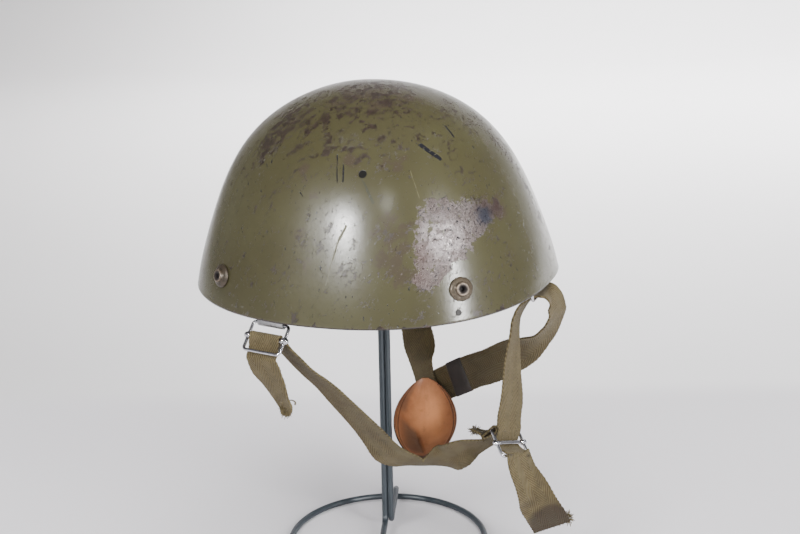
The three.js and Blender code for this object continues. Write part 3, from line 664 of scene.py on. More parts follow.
def falloff(points, spots, edges):
    """Largest strength of the spots at each point, fading between the two edges."""
    inner, outer = edges
    field = np.zeros(len(points))
    for x, y, z, radius, strength in spots:
        distance = np.linalg.norm(points - (x, y, z), axis=1) / radius
        part = np.clip((outer - distance) / (outer - inner), 0, 1)
        field = np.maximum(field, strength * part * part * (3 - 2 * part))
    return field


def stroke_spots(strokes):
    """Round spots in a row along each stroke."""
    spots = []
    for start, end, radius, strength in strokes:
        start, end = np.array(start, float), np.array(end, float)
        count = max(2, math.ceil(float(np.linalg.norm(end - start)) / radius) + 1)
        for share in np.linspace(0, 1, count):
            spots.append((*(start + (end - start) * share), radius, strength))
    return spots


def make_shell():
    rises = np.linspace(0, np.pi / 2, SHELL_UP + 1)[:-1]
    plans = np.linspace(0, 2 * np.pi, SHELL_AROUND, endpoint=False)
    plan, rise = np.meshgrid(plans, rises)
    outer = shell_surface(plan, rise)
    inner = outer - shell_normal(plan, rise) * SHELL_WALL
    inner[0, :, 2] = outer[0, :, 2]
    bend = SHELL_WALL / 2
    rim = []
    for angle in (60, 30, 0, -30, -60):
        a = math.radians(angle)
        edge = (outer[0] + inner[0]) / 2 + (outer[0] - inner[0]) / 2 * math.sin(a)
        edge[:, 2] = outer[0, :, 2] + bend * (1 - math.cos(a))
        rim.append(edge)
    outer[0, :, 2] += bend
    inner[0, :, 2] += bend
    ends = [Z_WAY * SHELL_HEIGHT, Z_WAY * (SHELL_HEIGHT - SHELL_WALL)]
    points, faces = sweep(ends, [*outer[::-1], *rim, *inner])
    mesh = points, [f[::-1] for f in faces]
    shell = mesh_piece("helmet_shell", mesh, ["shell"], matrix=helmet_matrix)
    cutters = [(VENT, VENT_RADIUS), (PLUG, PLUG_HOLE)]
    for rivet in RIVETS:
        cutters += [(rivet, RIVET_HOLE), ({**rivet, "plan": 180 - rivet["plan"]}, RIVET_HOLE)]
    cut_holes(shell, cutters)
    put_fields(shell.data, paint_fields(shell.data))
    return shell


def paint_fields(data):
    """Where the paint is worn, rubbed or brown, the height above the rim, and the inside."""
    places = np.zeros(len(data.vertices) * 3)
    data.vertices.foreach_get("co", places)
    places = place_points(helmet_matrix.inverted(), places.reshape(-1, 3) / MM)
    flat = (places[:, :2] / (SHELL_WIDTH, SHELL_LENGTH)) ** 2
    dip = RIM_DIP * (flat[:, 0] - flat[:, 1]) / np.maximum(flat.sum(1), 1e-9)
    height = np.maximum(places[:, 2] + dip * (1 - np.clip(places[:, 2] / SHELL_HEIGHT, 0, 1)), 0)
    crown = np.clip((places[:, 2] - CROWN_FROM) / CROWN_RISE, 0, 1)
    spots = WEAR + stroke_spots(STROKES)
    far_side = FAR_SIDE_WEAR * falloff(places * (-1, -1, 1), spots, WEAR_EDGES)
    return {
        "rim_height": height * MM,
        "wear": CROWN_WEAR * crown + np.maximum(falloff(places, spots, WEAR_EDGES), far_side),
        "patch": falloff(places, PATCH, PATCH_EDGES),
        "brown": falloff(places, BROWN, BROWN_EDGES),
        "inside": inside_shell(places),
    }


def inside_shell(places):
    """1 on the inner face and 0 on the outer one."""
    def lift(points):
        across = np.linalg.norm(points[:, :2] / (SHELL_WIDTH / 2, SHELL_LENGTH / 2), axis=1)
        return np.arctan2(points[:, 2] / SHELL_HEIGHT, across)

    rise = lift(places)
    plan = np.arctan2(places[:, 1] / SHELL_LENGTH, places[:, 0] / SHELL_WIDTH)
    for _ in range(3):
        rise += lift(places) - lift(shell_surface(plan, np.clip(rise, 0, math.pi / 2)))
    near = shell_surface(plan, np.clip(rise, 0, math.pi / 2))
    depth = np.linalg.norm(near, axis=1) - np.linalg.norm(places, axis=1)
    return np.clip((depth - 0.5) / 0.6, 0, 1)


# Smooth curve through the rows, the same one that the part's source uses
def curve_point(points, t):
    last = len(points) - 1
    p = last * t
    i = min(int(math.floor(p)), last - 1)
    w = p - i
    p1, p2 = points[i], points[i + 1]
    p0 = points[i - 1] if i > 0 else 2 * points[0] - points[1]
    p3 = points[i + 2] if i + 2 <= last else 2 * points[last] - points[last - 1]
    d0, d1, d2 = (float(np.dot(b - a, b - a)) ** 0.25 for a, b in ((p0, p1), (p1, p2), (p2, p3)))
    d1 = d1 if d1 > 1e-4 else 1.0
    d0 = d0 if d0 > 1e-4 else d1
    d2 = d2 if d2 > 1e-4 else d1
    t1 = ((p1 - p0) / d0 - (p2 - p0) / (d0 + d1) + (p2 - p1) / d1) * d1
    t2 = ((p2 - p1) / d1 - (p3 - p1) / (d1 + d2) + (p3 - p2) / d2) * d1
    c2 = -3 * p1 + 3 * p2 - 2 * t1 - t2
    c3 = 2 * p1 - 2 * p2 + t1 + t2
    return p1 + t1 * w + c2 * w * w + c3 * w * w * w


def row(at, across, width):
    """A section of a strap: its middle, the direction of its width, its width."""
    return {"at": np.array(at, float), "across": unit(np.array(across, float)), "width": width}


def table_rows(table):
    return [row((x, y, z), direction(turn, lean), width) for x, y, z, turn, lean, width in table]


def strip_frames(rows, step):
    """Sections along the rows: centre, tangent, half-width vector, arc length."""
    sides = []
    for r in rows:
        side = r["across"] * r["width"]
        if sides and float(np.dot(side, sides[-1])) < 0:
            side = -side
        sides.append(side)
    centres = [r["at"] for r in rows]
    spans = len(rows) - 1
    places = []
    for i in range(spans):
        cuts = max(2, round(float(np.linalg.norm(centres[i + 1] - centres[i])) / step))
        places += [(i + k / cuts) / spans for k in range(cuts)]
    places.append(1.0)
    frames, length, before = [], 0.0, None
    for t in places:
        centre = curve_point(centres, t)
        ahead = curve_point(centres, min(1, t + 1e-4)) - curve_point(centres, max(0, t - 1e-4))
        along = unit(ahead)
        side = curve_point(sides, t)
        width = float(np.linalg.norm(side))
        side = side - along * float(np.dot(side, along))
        side = unit(side) * width / 2
        if before is not None:
            length += float(np.linalg.norm(centre - before))
        before = centre
        frames.append((centre, along, side, length))
    return frames


# Half of the band's section, as shares of the half width
WEB_HALF = [0.2, 0.45, 0.7, 0.86, 0.91, 0.955, 0.985, 1]
WEB_PROFILE = [-s for s in reversed(WEB_HALF)] + [0] + WEB_HALF

# Spacing of the loops along the webbing's edges
PICOT = 3.6

UV_SCALE = 0.01
THREAD_UV = (0.05, 0.05)
THREAD_SIDES = 5
THREAD_STEPS = 6

# Soiled ends of the webbing, and painted shade along the far nape strap and the right strap, from the rim's
# centre: x, y, z, radius, strength
SOIL_AND_SHADE = [
    (0, 140, -184, 18, 0.9),
    (-3, 144, -187, 14, 1),
    (-31, 109, -57, 17, 0.35),
    (-44, 86, -75, 22, 0.25),
    (-58, 62, -90, 22, 0.25),
    (-75, 30, -110, 24, 0.2),
    (-111, -30, -15, 24, 0.7),
    (-110, -22, -42, 22, 0.55),
    (-108, -12, -66, 22, 0.55),
    (-103, -5, -90, 22, 0.45),
    (114, -25, -76, 9, 0.25),
]


def web_half_thickness(s):
    edge = abs(s)
    if edge > 0.999:
        return 0.25
    cord = math.exp(-(((edge - 0.945) / 0.035) ** 2))
    return STRAP_THICK / 2 * (0.84 + 0.16 * cord) * min(1.0, 0.45 + (1 - edge) / 0.03)


def webbing_mesh(rows, seed, step=0.7):
    """A woven band, flat between two corded edges and a little uneven, and its frames."""
    frames = strip_frames(rows, step)
    sections, uv, centres = [], [], []
    for centre, along, side, length in frames:
        half = float(np.linalg.norm(side))
        normal = unit(np.cross(along, side))
        wave = 0.35 * noise.noise(Vector((length * 0.055, seed * 7.3, 0)))
        outline = []
        for face, order in ((1, reversed(WEB_PROFILE)), (-1, WEB_PROFILE)):
            for s in order:
                trim = 1.0
                if abs(s) > 0.9:
                    trim += 0.02 * noise.noise(Vector((length * 0.2, seed * 3.1, s * 4)))
                    trim += 0.013 * math.sin(2 * math.pi * length / PICOT + (1 if s > 0 else 0))
                cup = 0.3 * noise.noise(Vector((length * 0.04, s * 0.9, seed * 2.7)))
                lift = wave + cup + face * web_half_thickness(s)
                outline.append(centre + side * s * trim + normal * lift)
                uv.append((s * half * UV_SCALE, length * UV_SCALE))
        sections.append(np.array(outline))
        centres.append(centre + normal * wave)
    uv += [(0, frames[0][3] * UV_SCALE), (0, frames[-1][3] * UV_SCALE)]
    return (*sweep(centres, sections), uv), frames


def thread_tubes(starts, seed, length, radius, droop):
    """Loose threads: each leaves its start along a direction and wanders."""
    rng = np.random.default_rng(seed)
    tubes = []
    for at, way in starts:
        reach = length * rng.uniform(0.35, 1.0)
        curl = rng.normal(0, 0.35, 3)
        centre, heading = np.array(at, float), unit(np.array(way, float) + rng.normal(0, 0.22, 3))
        rings = []
        for i in range(THREAD_STEPS + 1):
            a = unit(np.cross(heading, (0.3, 0.2, 1.0) if abs(heading[2]) < 0.9 else (1.0, 0.1, 0)))
            size = radius * (1 - 0.6 * i / THREAD_STEPS)
            rings.append(ring(centre, a * size, np.cross(heading, a) * size, THREAD_SIDES))
            centre = centre + heading * reach / THREAD_STEPS
            heading = unit(heading + (curl - Z_WAY * droop) / THREAD_STEPS)
        tubes.append(sweep([rings[0].mean(0), rings[-1].mean(0)], rings))
    return join_meshes(tubes)


def frayed_end(frame_row, outward, count, seed, length, radius, droop):
    """Threads along a strap's cut end."""
    centre, along, side, _ = frame_row
    rng = np.random.default_rng(seed)
    normal = unit(np.cross(along, side))
    starts = []
    for _ in range(count):
        s = rng.uniform(-0.97, 0.97)
        at = centre + side * s + normal * rng.uniform(-0.6, 0.6) - along * outward * 0.6
        starts.append((at, along * outward))
    return thread_tubes(starts, seed + 1, length, radius, droop)


# Buckles
def buckle_frame(spec):
    """A buckle's axes: along its bar, down the frame and out of its face."""
    bar = direction(spec["turn"], spec["lean"])
    down = unit(np.array([0, 0, -1.0]) + bar * bar[2])
    out = np.cross(down, bar)
    cos, sin = math.cos(math.radians(spec["swing"])), math.sin(math.radians(spec["swing"]))
    drop = down * cos + out * sin
    face = out * cos - down * sin
    origin = np.array(spec["centre"], float)

    def at(a, b, c):
        return origin + bar * a + drop * b + face * c

    return {"bar": bar, "drop": drop, "face": face, "at": at}


left_buckle = buckle_frame(LEFT_BUCKLE)
nape_buckle = buckle_frame(NAPE_BUCKLE)
TOP_BAR = -BUCKLE_HEIGHT / 2
BOTTOM_BAR = BUCKLE_HEIGHT / 2
WIRE_REACH = BUCKLE_WIRE / 2 + GAP + WRAP_HALF


def rounded_loop(width, height, corner, steps=8):
    """A rectangle with round corners."""
    outline = []
    for cx, cy, first in ((1, -1, -90), (1, 1, 0), (-1, 1, 90), (-1, -1, 180)):
        for k in range(steps + 1):
            a = math.radians(first + 90 * k / steps)
            x = cx * (width / 2 - corner) + corner * math.cos(a)
            y = cy * (height / 2 - corner) + corner * math.sin(a)
            outline.append((x, y))
    return outline


def wire_loop(width, height, wire, corner, origin, axis_x, axis_y):
    outline = rounded_loop(width, height, corner)
    dense = []
    for (x, y), (nx, ny) in zip(outline, outline[1:] + outline[:1]):
        pieces = max(1, round(math.hypot(nx - x, ny - y) / 2.5))
        dense += [(x + (nx - x) * m / pieces, y + (ny - y) * m / pieces) for m in range(pieces)]
    normal = np.cross(axis_x, axis_y) * wire / 2
    sections = []
    for k, (x, y) in enumerate(dense):
        (bx, by), (nx, ny) = dense[k - 1], dense[(k + 1) % len(dense)]
        tangent = unit(np.array([nx - bx, ny - by])) * wire / 2
        side = tangent[1] * axis_x - tangent[0] * axis_y
        sections.append(ring(origin + axis_x * x + axis_y * y, side, normal, WIRE_SIDES))
    return sweep(None, sections, closed=True)


def lathe(profile, origin, axis, side, sides):
    """Round body from (distance along the axis, radius) pairs; a radius of 0 closes an end."""
    sections = []
    for along, radius in profile:
        reach = side * max(radius, 1e-3)
        sections.append(ring(origin + axis * along, reach, np.cross(axis, reach), sides))
    return sweep([origin + axis * profile[0][0], origin + axis * profile[-1][0]], sections)


def make_buckle(name, buckle):
    bar, drop, at = buckle["bar"], buckle["drop"], buckle["at"]
    loop = wire_loop(BUCKLE_WIDTH, BUCKLE_HEIGHT, BUCKLE_WIRE, BUCKLE_CORNER, at(0, 0, 0), bar, drop)
    wire = mesh_piece(f"{name}_buckle_wire", loop, [f"{name}_buckle_frame"])
    half = BUCKLE_WIDTH / 2 - BAR_INSET
    outline = rounded_loop(BAR_HEIGHT, BAR_THICK, BAR_CORNER, 4)
    sections = [np.array([at(a, x, y) for x, y in outline]) for a in np.linspace(-half, half, 12)]
    parts = [sweep([at(-half, 0, 0), at(half, 0, 0)], sections)]
    profile = []
    for u in np.linspace(-1, 1, 25):
        waist = KNOB_WAIST * math.exp(-((u / 0.2) ** 2))
        profile.append((u * KNOB_LENGTH / 2, KNOB_RADIUS * (max(0, 1 - u * u) ** 0.4 - waist)))
    for sign in (-1, 1):
        parts.append(lathe(profile, at(sign * BUCKLE_WIDTH / 2, 0, 0), bar, drop, 24))
    slide = mesh_piece(f"{name}_buckle_slide", join_meshes(parts)[:2], [f"{name}_buckle_bar"])
    return [wire, slide]


def make_link():
    loop = wire_loop(LINK_WIDTH, LINK_HEIGHT, LINK_WIRE, LINK_CORNER, LINK_CENTRE, X_WAY, Z_WAY)
    return mesh_piece("nape_wire_link", loop, ["nape_link"])


def wrap_rows(centre, right, up, radius, first, last, count, across, width):
    """Rows on an arc round a wire, between two angles in degrees."""
    rows = []
    for k in range(count + 1):
        a = math.radians(first + (last - first) * k / count)
        rows.append(row(centre + right * radius * math.cos(a) + up * radius * math.sin(a), across, width))
    return rows


def wall_rows(plan, thick, width):
    """Rows down the shell's inner face to the rim, a clearance away from it."""
    bulge = (width / 2) ** 2 / SHELL_WIDTH
    inset = SHELL_WALL + GAP + 0.15 + bulge + thick / 2
    turn = np.array(HELMET_TURN.to_matrix())
    rows = []
    for rise in WALL_RISES:
        normal = shell_normal(math.radians(plan), math.radians(rise))
        at = shell_surface(math.radians(plan), math.radians(rise)) - normal * inset
        across = np.array([-normal[1], normal[0], 0])
        rows.append(row(turn @ at, turn @ across, width))
    return rows


seam_normal = direction(SEAM_TURN, SEAM_LEAN)
seam_side = unit(np.array([-seam_normal[1], seam_normal[0], 0]))
seam_up = np.cross(seam_normal, seam_side)


def seam_rows(slope, lift):
    """Rows through the seam behind the cup, where the nape and right straps meet."""
    a = math.radians(slope)
    way = seam_side * math.sin(a) - seam_up * math.cos(a)
    middle = np.array(SEAM_CENTRE, float) + seam_normal * lift
    return [row(middle + way * along, np.cross(way, seam_normal), STRAP_WIDTH)
            for along in (-SEAM_REACH, 0, SEAM_REACH)]


def left_strap_rows():
    """The CAD route, and beyond it the loop's short raw end."""
    bar, drop, face, at = (left_buckle[k] for k in ("bar", "drop", "face", "at"))
    rows = table_rows(LEFT_TAIL)
    for fall, lift in ((3, -WIRE_REACH), (-1, -WIRE_REACH), (-5.5, 0)):
        rows.append(row(at(0, BOTTOM_BAR + fall, lift), bar, BUCKLED_WIDTH))
    wrap = BAR_HEIGHT / 2 + 2 * GAP + CAD_STRAP_THICK / 2
    rows += wrap_rows(at(0, 0, 0), face, drop, wrap, 25, -150, 6, bar, BUCKLED_WIDTH)
    rows.append(row(at(1, -1.4, -8), bar, BUCKLED_WIDTH))
    rows += table_rows(LEFT_STRAP)
    eye = nape_buckle["at"](0, TOP_BAR, 0)
    incoming, side, across = nape_buckle["face"], nape_buckle["drop"], -nape_buckle["bar"]
    rows.append(row(eye - incoming * LOOP_LEAD + side * LOOP_HALF_OPEN, across, BUCKLED_WIDTH))
    rows += wrap_rows(eye, incoming, side, WIRE_REACH, 100, -100, 8, across, BUCKLED_WIDTH)
    rows.append(row(eye - incoming * LOOP_LEAD - side * LOOP_HALF_OPEN, across, BUCKLED_WIDTH))
    return rows + table_rows(LOOP_TAIL)


def nape_strap_rows():
    """The CAD route, with the tail a little longer."""
    bar, drop, face, at = (nape_buckle[k] for k in ("bar", "drop", "face", "at"))
    under = BAR_THICK / 2 + 3 * GAP + CAD_STRAP_THICK / 2
    over_loop = WIRE_REACH + CAD_STRAP_THICK + 2 * GAP
    rows = table_rows([TAIL_TIP, *NAPE_TAIL])
    rows += wrap_rows(at(0, BOTTOM_BAR, 0), drop, face, WIRE_REACH, 55, 125, 3, bar, BUCKLED_WIDTH)
    rows += [row(at(0, fall, -under), bar, BUCKLED_WIDTH) for fall in (2.2, -2)]
    rows += wrap_rows(at(0, TOP_BAR, 0), drop, face, over_loop, 40, 56, 1, bar, BUCKLED_WIDTH)
    rows += table_rows(NAPE_NEAR)
    link_bar = LINK_CENTRE - Z_WAY * LINK_HEIGHT / 2
    over_link = LINK_WIRE / 2 + GAP + WRAP_HALF
    rows += wrap_rows(link_bar, Y_WAY, Z_WAY, over_link, 132, 104, 2, -X_WAY, BUCKLED_WIDTH)
    return rows + table_rows(NAPE_FAR) + seam_rows(SEAM_NAPE_SLOPE, 0)


def right_strap_rows():
    rows = wall_rows(RIGHT_STRAP_PLAN, CAD_STRAP_THICK, STRAP_WIDTH)
    return rows + table_rows(RIGHT_STRAP) + seam_rows(SEAM_RIGHT_SLOPE, CAD_STRAP_THICK + 2 * GAP)


def strap_piece(name, node, parts):
    """A strap's webbing and its threads; the threads get little of the soil and painted shade."""
    mesh = join_meshes(parts)
    soil_and_shade = falloff(mesh[0], SOIL_AND_SHADE, SOIL_AND_SHADE_EDGES)
    soil_and_shade[len(parts[0][0]):] *= 0.2
    return mesh_piece(name, mesh, [node], {"soil_and_shade": soil_and_shade})


def strip_mesh(frames, outline, lifts):
    """A strip along the frames; the outline gives shares of the half width and of the lift."""
    sections = []
    for (centre, along, side, _), lift in zip(frames, lifts):
        normal = unit(np.cross(along, side)) * lift
        sections.append(np.array([centre + side * s + normal * h for s, h in outline]))
    return sweep([f[0] for f in frames], sections)


def ribbon(route, width, thick, across):
    """A thin bent strip through a few points."""
    frames = strip_frames([row(at, across, width) for at in route], 0.5)
    outline = [(1, 0), (0.7, 1), (-0.7, 1), (-1, 0), (-0.7, -1), (0.7, -1)]
    return strip_mesh(frames, outline, [thick / 2] * len(frames))


def lump(seed, centre, size, count, length, radius):
    """A tangle of short thread ends about one place."""
    rng = np.random.default_rng(seed)
    starts = []
    for _ in range(count):
        offset = rng.normal(0, 1, 3)
        starts.append((np.array(centre) + unit(offset) * np.array(size) * rng.uniform(0.2, 1), offset))
    return thread_tubes(starts, seed + 1, length, radius, 0.3)


def make_straps():
    left, left_frames = webbing_mesh(left_strap_rows(), 1)
    nape, nape_frames = webbing_mesh(nape_strap_rows(), 2)
    right, _ = webbing_mesh(right_strap_rows(), 3)
    left_threads = [
        frayed_end(left_frames[0], -1, 60, 11, 2.5, 0.3, 0.6),
        ribbon(LEFT_CURL, 1.6, 0.7, (0.45, 0.85, 0.3)),
        lump(14, (113.8, -24.5, -73), (2, 3.8, 4), 150, 3.0, 0.34),
        lump(12, (114.3, -25.8, -61), (1.5, 1.4, 5), 70, 2.2, 0.3),
        lump(16, (12, 83, -112.5), (2.5, 5, 2.2), 150, 3.0, 0.36),
    ]
    nape_threads = [
        frayed_end(nape_frames[0], -1, 150, 21, 2.0, 0.2, 0.5),
        lump(24, (-9, 151, -183), (3, 3.5, 5.5), 120, 2.6, 0.34),
    ]
    return [
        strap_piece("left_chin_webbing", "left_chin_strap", [left, *left_threads]),
        strap_piece("nape_webbing", "nape_strap", [nape, *nape_threads]),
        strap_piece("right_chin_webbing", "right_chin_strap", [right]),
        make_band(nape_frames),
    ]


def make_band(frames):
    """The sleeve sewn round the nape strap ahead of its end, coloured near black as painted shade."""
    total = frames[-1][3]
    part = [f for f in frames if BAND_FROM < total - f[3] < BAND_TO]
    eases = [min(1.0, 0.55 + 0.15 * min(k, len(part) - 1 - k)) for k in range(len(part))]
    part = [(centre, along, (side + unit(side) * 0.7) * (0.985 + 0.015 * ease), length)
            for (centre, along, side, length), ease in zip(part, eases)]
    outline = [(1, 0), (0.99, 0.8), (0.96, 1), (0.5, 1.06), (0, 1.08), (-0.5, 1.06), (-0.96, 1), (-0.99, 0.8)]
    outline += [(-s, -h) for s, h in outline]
    mesh = strip_mesh(part, outline, [BAND_LIFT * ease for ease in eases])
    return mesh_piece("sewn_band", mesh)


def make_hanger(name, plan, centre, bar, wire, node):
    """A sheet tab from the shell's inner face that curls round a wire."""
    rows = wall_rows(plan, SHEET_THICK, SHEET_WIDTH)
    radius = wire / 2 + GAP + SHEET_THICK / 2 + 0.2
    out = unit(np.array([bar[1], -bar[0], 0]))
    up = np.cross(out, bar)
    rows.append(row(centre + out * radius + up * HANGER_LEAD, bar, SHEET_WIDTH))
    rows += wrap_rows(centre, out, up, radius, 0, -210, 10, bar, SHEET_WIDTH)
    outline = [(1, 0.5), (0.985, 1), (0, 1), (-0.985, 1), (-1, 0.5)]
    outline += [(-s, -h) for s, h in outline]
    frames = strip_frames(rows, 1.5)
    mesh = strip_mesh(frames, outline, [SHEET_THICK / 2] * len(frames))
    return mesh_piece(name, mesh, [node])


def make_rivet(name, place, node):
    """A domed washer and an open collar, with painted shade at the bottom inside the collar."""
    inside = -SHELL_WALL - GAP - 0.3
    profile = [(inside + along, radius) for along, radius in RIVET_INSIDE] + RIVET_OUTSIDE
    circle = ring(np.zeros(3), X_WAY, Y_WAY, 48)
    sections, worn, hole = [], [], []
    for along, radius in profile:
        dents = [0.12 * noise.noise(Vector((x * 1.5, y * 1.5, along + place["plan"]))) for x, y, _ in circle]
        sections.append(Z_WAY * along + (radius + np.array(dents)[:, None]) * circle)
        worn += [math.exp(-(((radius - 4.2) / 0.4) ** 2)) if along > 4.3 else 0.0] * len(circle)
        hole += [min(1.0, max(0.0, (3.6 - radius) / 0.6))] * len(circle)
    ends = [Z_WAY * profile[0][0], Z_WAY * profile[-1][0]]
    fields = {"worn": worn + [0.0, 0.0], "hole": hole + [0.0, 1.0]}
    return mesh_piece(name, sweep(ends, sections), [node], fields, shell_placement(place))


def make_plug():
    inside = -SHELL_WALL - 2 * GAP - 0.3
    profile = [(inside - 0.8, 0), (inside - 0.8, 3.2), (inside - 0.6, 3.4), (inside, 3.4), (inside, 2.15),
               (-0.1, 2.2), (0.1, 2.1), (0.2, 1.6), (0.1, 0)]
    mesh = lathe(profile, np.zeros(3), Z_WAY, X_WAY, 32)
    return mesh_piece("small_plug", mesh, ["shell_plug"], matrix=shell_placement(PLUG))


# Chin cup
def cup_axes():
    """The cup's left tip, length and directions, from its two tips."""
    left, right = np.array(CUP_LEFT_TIP, float), np.array(CUP_RIGHT_TIP, float)
    length = float(np.linalg.norm(right - left))
    along = (right - left) / length
    side = direction(CUP_SIDE_TURN, 0)
    side = unit(side - along * float(np.dot(side, along)))
    up = np.cross(side, along)
    if up[2] < 0:
        up = -up
    return left, along, length, side, up


def clamp(value):
    return min(max(value, 0), 1)


def bell(value, middle, width):
    return np.exp(-(((value - middle) / width) ** 2))


def cup_point(axes, s, v, drop):
    """The place at a share s of the length and v of the half width, drop below the cup's face."""
    left, along, length, side, up = axes
    belly = math.sin(math.pi * clamp(s))
    half = max(CUP_TIP, CUP_HALF_WIDTH * belly ** 0.55) * (1 + 0.13 * clamp(v / 0.4))
    sag = CUP_SAG * belly ** 0.8 * max(0.0, 1 - v * v) ** 0.8 + drop
    return left + along * length * s + side * (half - 0.4 * max(drop, 0) * belly) * v - up * sag


def cup_hollow(s, v):
    """1 in the hollow below the crease that runs from the left side to the near tip."""
    aside = clamp((-0.22 + 0.9 * (0.54 - s) - v) / 0.14)
    below = clamp((0.54 + 0.15 * (-0.22 - v) - s) / 0.06)
    return aside * below * clamp((v + 0.92) / 0.35) * clamp((s - 0.08) / 0.15)


def cup_lift(s, v):
    """How far the soft lining stands up: a bulge, a groove beside it and welts along the edges."""
    bulge = 2.6 * bell(s, 0.62, 0.22) * bell(v, 0.25, 0.45)
    groove = -2.8 * cup_hollow(s, v)
    shoulder = 0.9 * bell(s, 0.86, 0.05) * (1 - v * v)
    wrinkle = 0.55 * noise.noise(Vector((s * 9, v * 2.2, 1.7)))
    wrinkle += 0.3 * noise.noise(Vector((s * 5, v * 7, 4.1)))
    fade = max(0.0, 1 - abs(v)) ** 0.5 * math.sin(math.pi * s) ** 0.5
    welt = 0.55 * bell(abs(v), 0.83, 0.03) - 0.35 * bell(abs(v), 0.9, 0.025)
    return (bulge + groove + shoulder + wrinkle) * fade + welt * math.sin(math.pi * s) ** 0.3


def cup_layer(axes, low_v, high_v, top, bottom):
    """A layer of the cup between two depths, with rounded edges, and s and v at its points."""
    around = [(top, j / CUP_ACROSS) for j in range(CUP_ACROSS + 1)]
    around += [(bottom, 1 - j / CUP_ACROSS) for j in range(CUP_ACROSS + 1)]
    sections, params = [], []
    for i in range(CUP_STEPS + 1):
        s = i / CUP_STEPS
        section = []
        for depth, w in around:
            v = low_v + (high_v - low_v) * w
            edge = min(1.0, min(w, 1 - w) / 0.03)
            inward = 1 - math.sqrt(1 - (1 - edge) ** 2)
            middle, drop = (top(s, v) + bottom(s, v)) / 2, depth(s, v)
            section.append(cup_point(axes, s, v, drop + (middle - drop) * inward))
            params.append((s, v))
        sections.append(np.array(section))
    points, faces = sweep([section.mean(0) for section in sections], sections)
    return (points, faces), np.array(params + [(0, 0), (1, 0)])


def lining_over(s, v):
    return LINING_OVER - cup_lift(s, v)


def backing_under(s, v):
    return BACKING_UNDER + 0.3 * math.sin(math.pi * s)


def make_cup():
    """The lining, with the fields of its colours and of its painted light and shade, the backing under it and
    the stitches.
    """
    axes = cup_axes()
    lining, params = cup_layer(axes, -0.98, 0.97, lining_over, lambda s, v: LINING_UNDER)
    s, v = params.T
    hollow = np.array([cup_hollow(*place) for place in params])
    left_band = np.clip((-0.62 - v) / 0.12, 0, 1) * np.clip((s - 0.6) / 0.1, 0, 1)
    # The dark field is painted shade in the hollow below the crease and along the left edge; the bright field
    # over the bulge is painted light.
    fields = {
        "dark": np.maximum(0.75 * hollow, 0.5 * left_band),
        "tip": np.clip((0.14 - s) / 0.07, 0, 1),
        "painted_light": bell(s, 0.64, 0.22) * bell(v, 0.25, 0.5),
        "seam": bell(np.abs(v), 0.86, 0.016) + bell(np.abs(v), 0.935, 0.014),
    }
    backing, _ = cup_layer(axes, -1.05, 1.0, lambda s, v: BACKING_OVER, backing_under)
    stitches = []
    for line in STITCH_LINES:
        for k in range(STITCHES):
            start = 0.06 + 0.88 * k / STITCHES
            route = [cup_point(axes, s, line, STITCH_OVER - cup_lift(s, line))
                     for s in (start, start + 0.005, start + 0.01)]
            stitches.append(tube_along(route, STITCH_RADIUS, 6, axes[3]))
    return [
        mesh_piece("cup_lining", lining, ["chin_cup"], fields),
        mesh_piece("cup_backing", backing),
        mesh_piece("cup_stitches", join_meshes(stitches)[:2]),
    ]


# Stand
def tube_along(points, radius, sides, flat_side):
    sections, last = [], len(points) - 1
    for k, centre in enumerate(points):
        tangent = unit(points[min(k + 1, last)] - points[max(k - 1, 0)])
        a = unit(np.cross(tangent, flat_side)) * radius
        sections.append(ring(centre, a, np.cross(tangent, a), sides))
    return sweep([points[0], points[-1]], sections)


def make_stand():
    """A ring on the floor, and two rods that bend outward into its legs."""
    forward, post = direction(LEG_ANGLE, 0), np.array([*POST, 0.0])
    aside = np.array([-forward[1], forward[0], 0])
    leg_height = Z_WAY * (ROD + ROD / 2 - WELD)
    centre = post + forward * RING_FORWARD + aside * RING_ASIDE + Z_WAY * (ROD / 2 - RING_SINK)
    sections = []
    for out in ring(np.zeros(3), X_WAY, Y_WAY, 160):
        section = ring(centre + out * RING_RADIUS, out * ROD / 2, Z_WAY * ROD / 2, ROD_SIDES)
        section[:, 2] = np.maximum(section[:, 2], 0)
        sections.append(section)
    parts = [sweep(None, sections, closed=True)]
    top = Z_WAY * (RIM_HEIGHT + SHELL_HEIGHT - SHELL_WALL - PAD_HEIGHT + 1)
    for sign in (-1, 1):
        way = forward * -sign
        reach = RING_RADIUS - sign * RING_FORWARD + LEG_OVERHANG
        start = post + aside * sign * ROD_SPACING / 2
        route = list(start + np.linspace(top, leg_height + Z_WAY * ROD_BEND, 30))
        for tilt in np.linspace(0, math.pi / 2, 9)[1:]:
            bend = way * (1 - math.cos(tilt)) + Z_WAY * (1 - math.sin(tilt))
            route.append(start + leg_height + bend * ROD_BEND)
        route += [start + leg_height + way * r for r in np.linspace(ROD_BEND, reach, 12)[1:]]
        parts.append(tube_along(route, ROD / 2, ROD_SIDES, aside))
    rods = mesh_piece("wire_stand", join_meshes(parts)[:2], ["stand"], matrix=stand_matrix)
    return [rods, make_pad()]


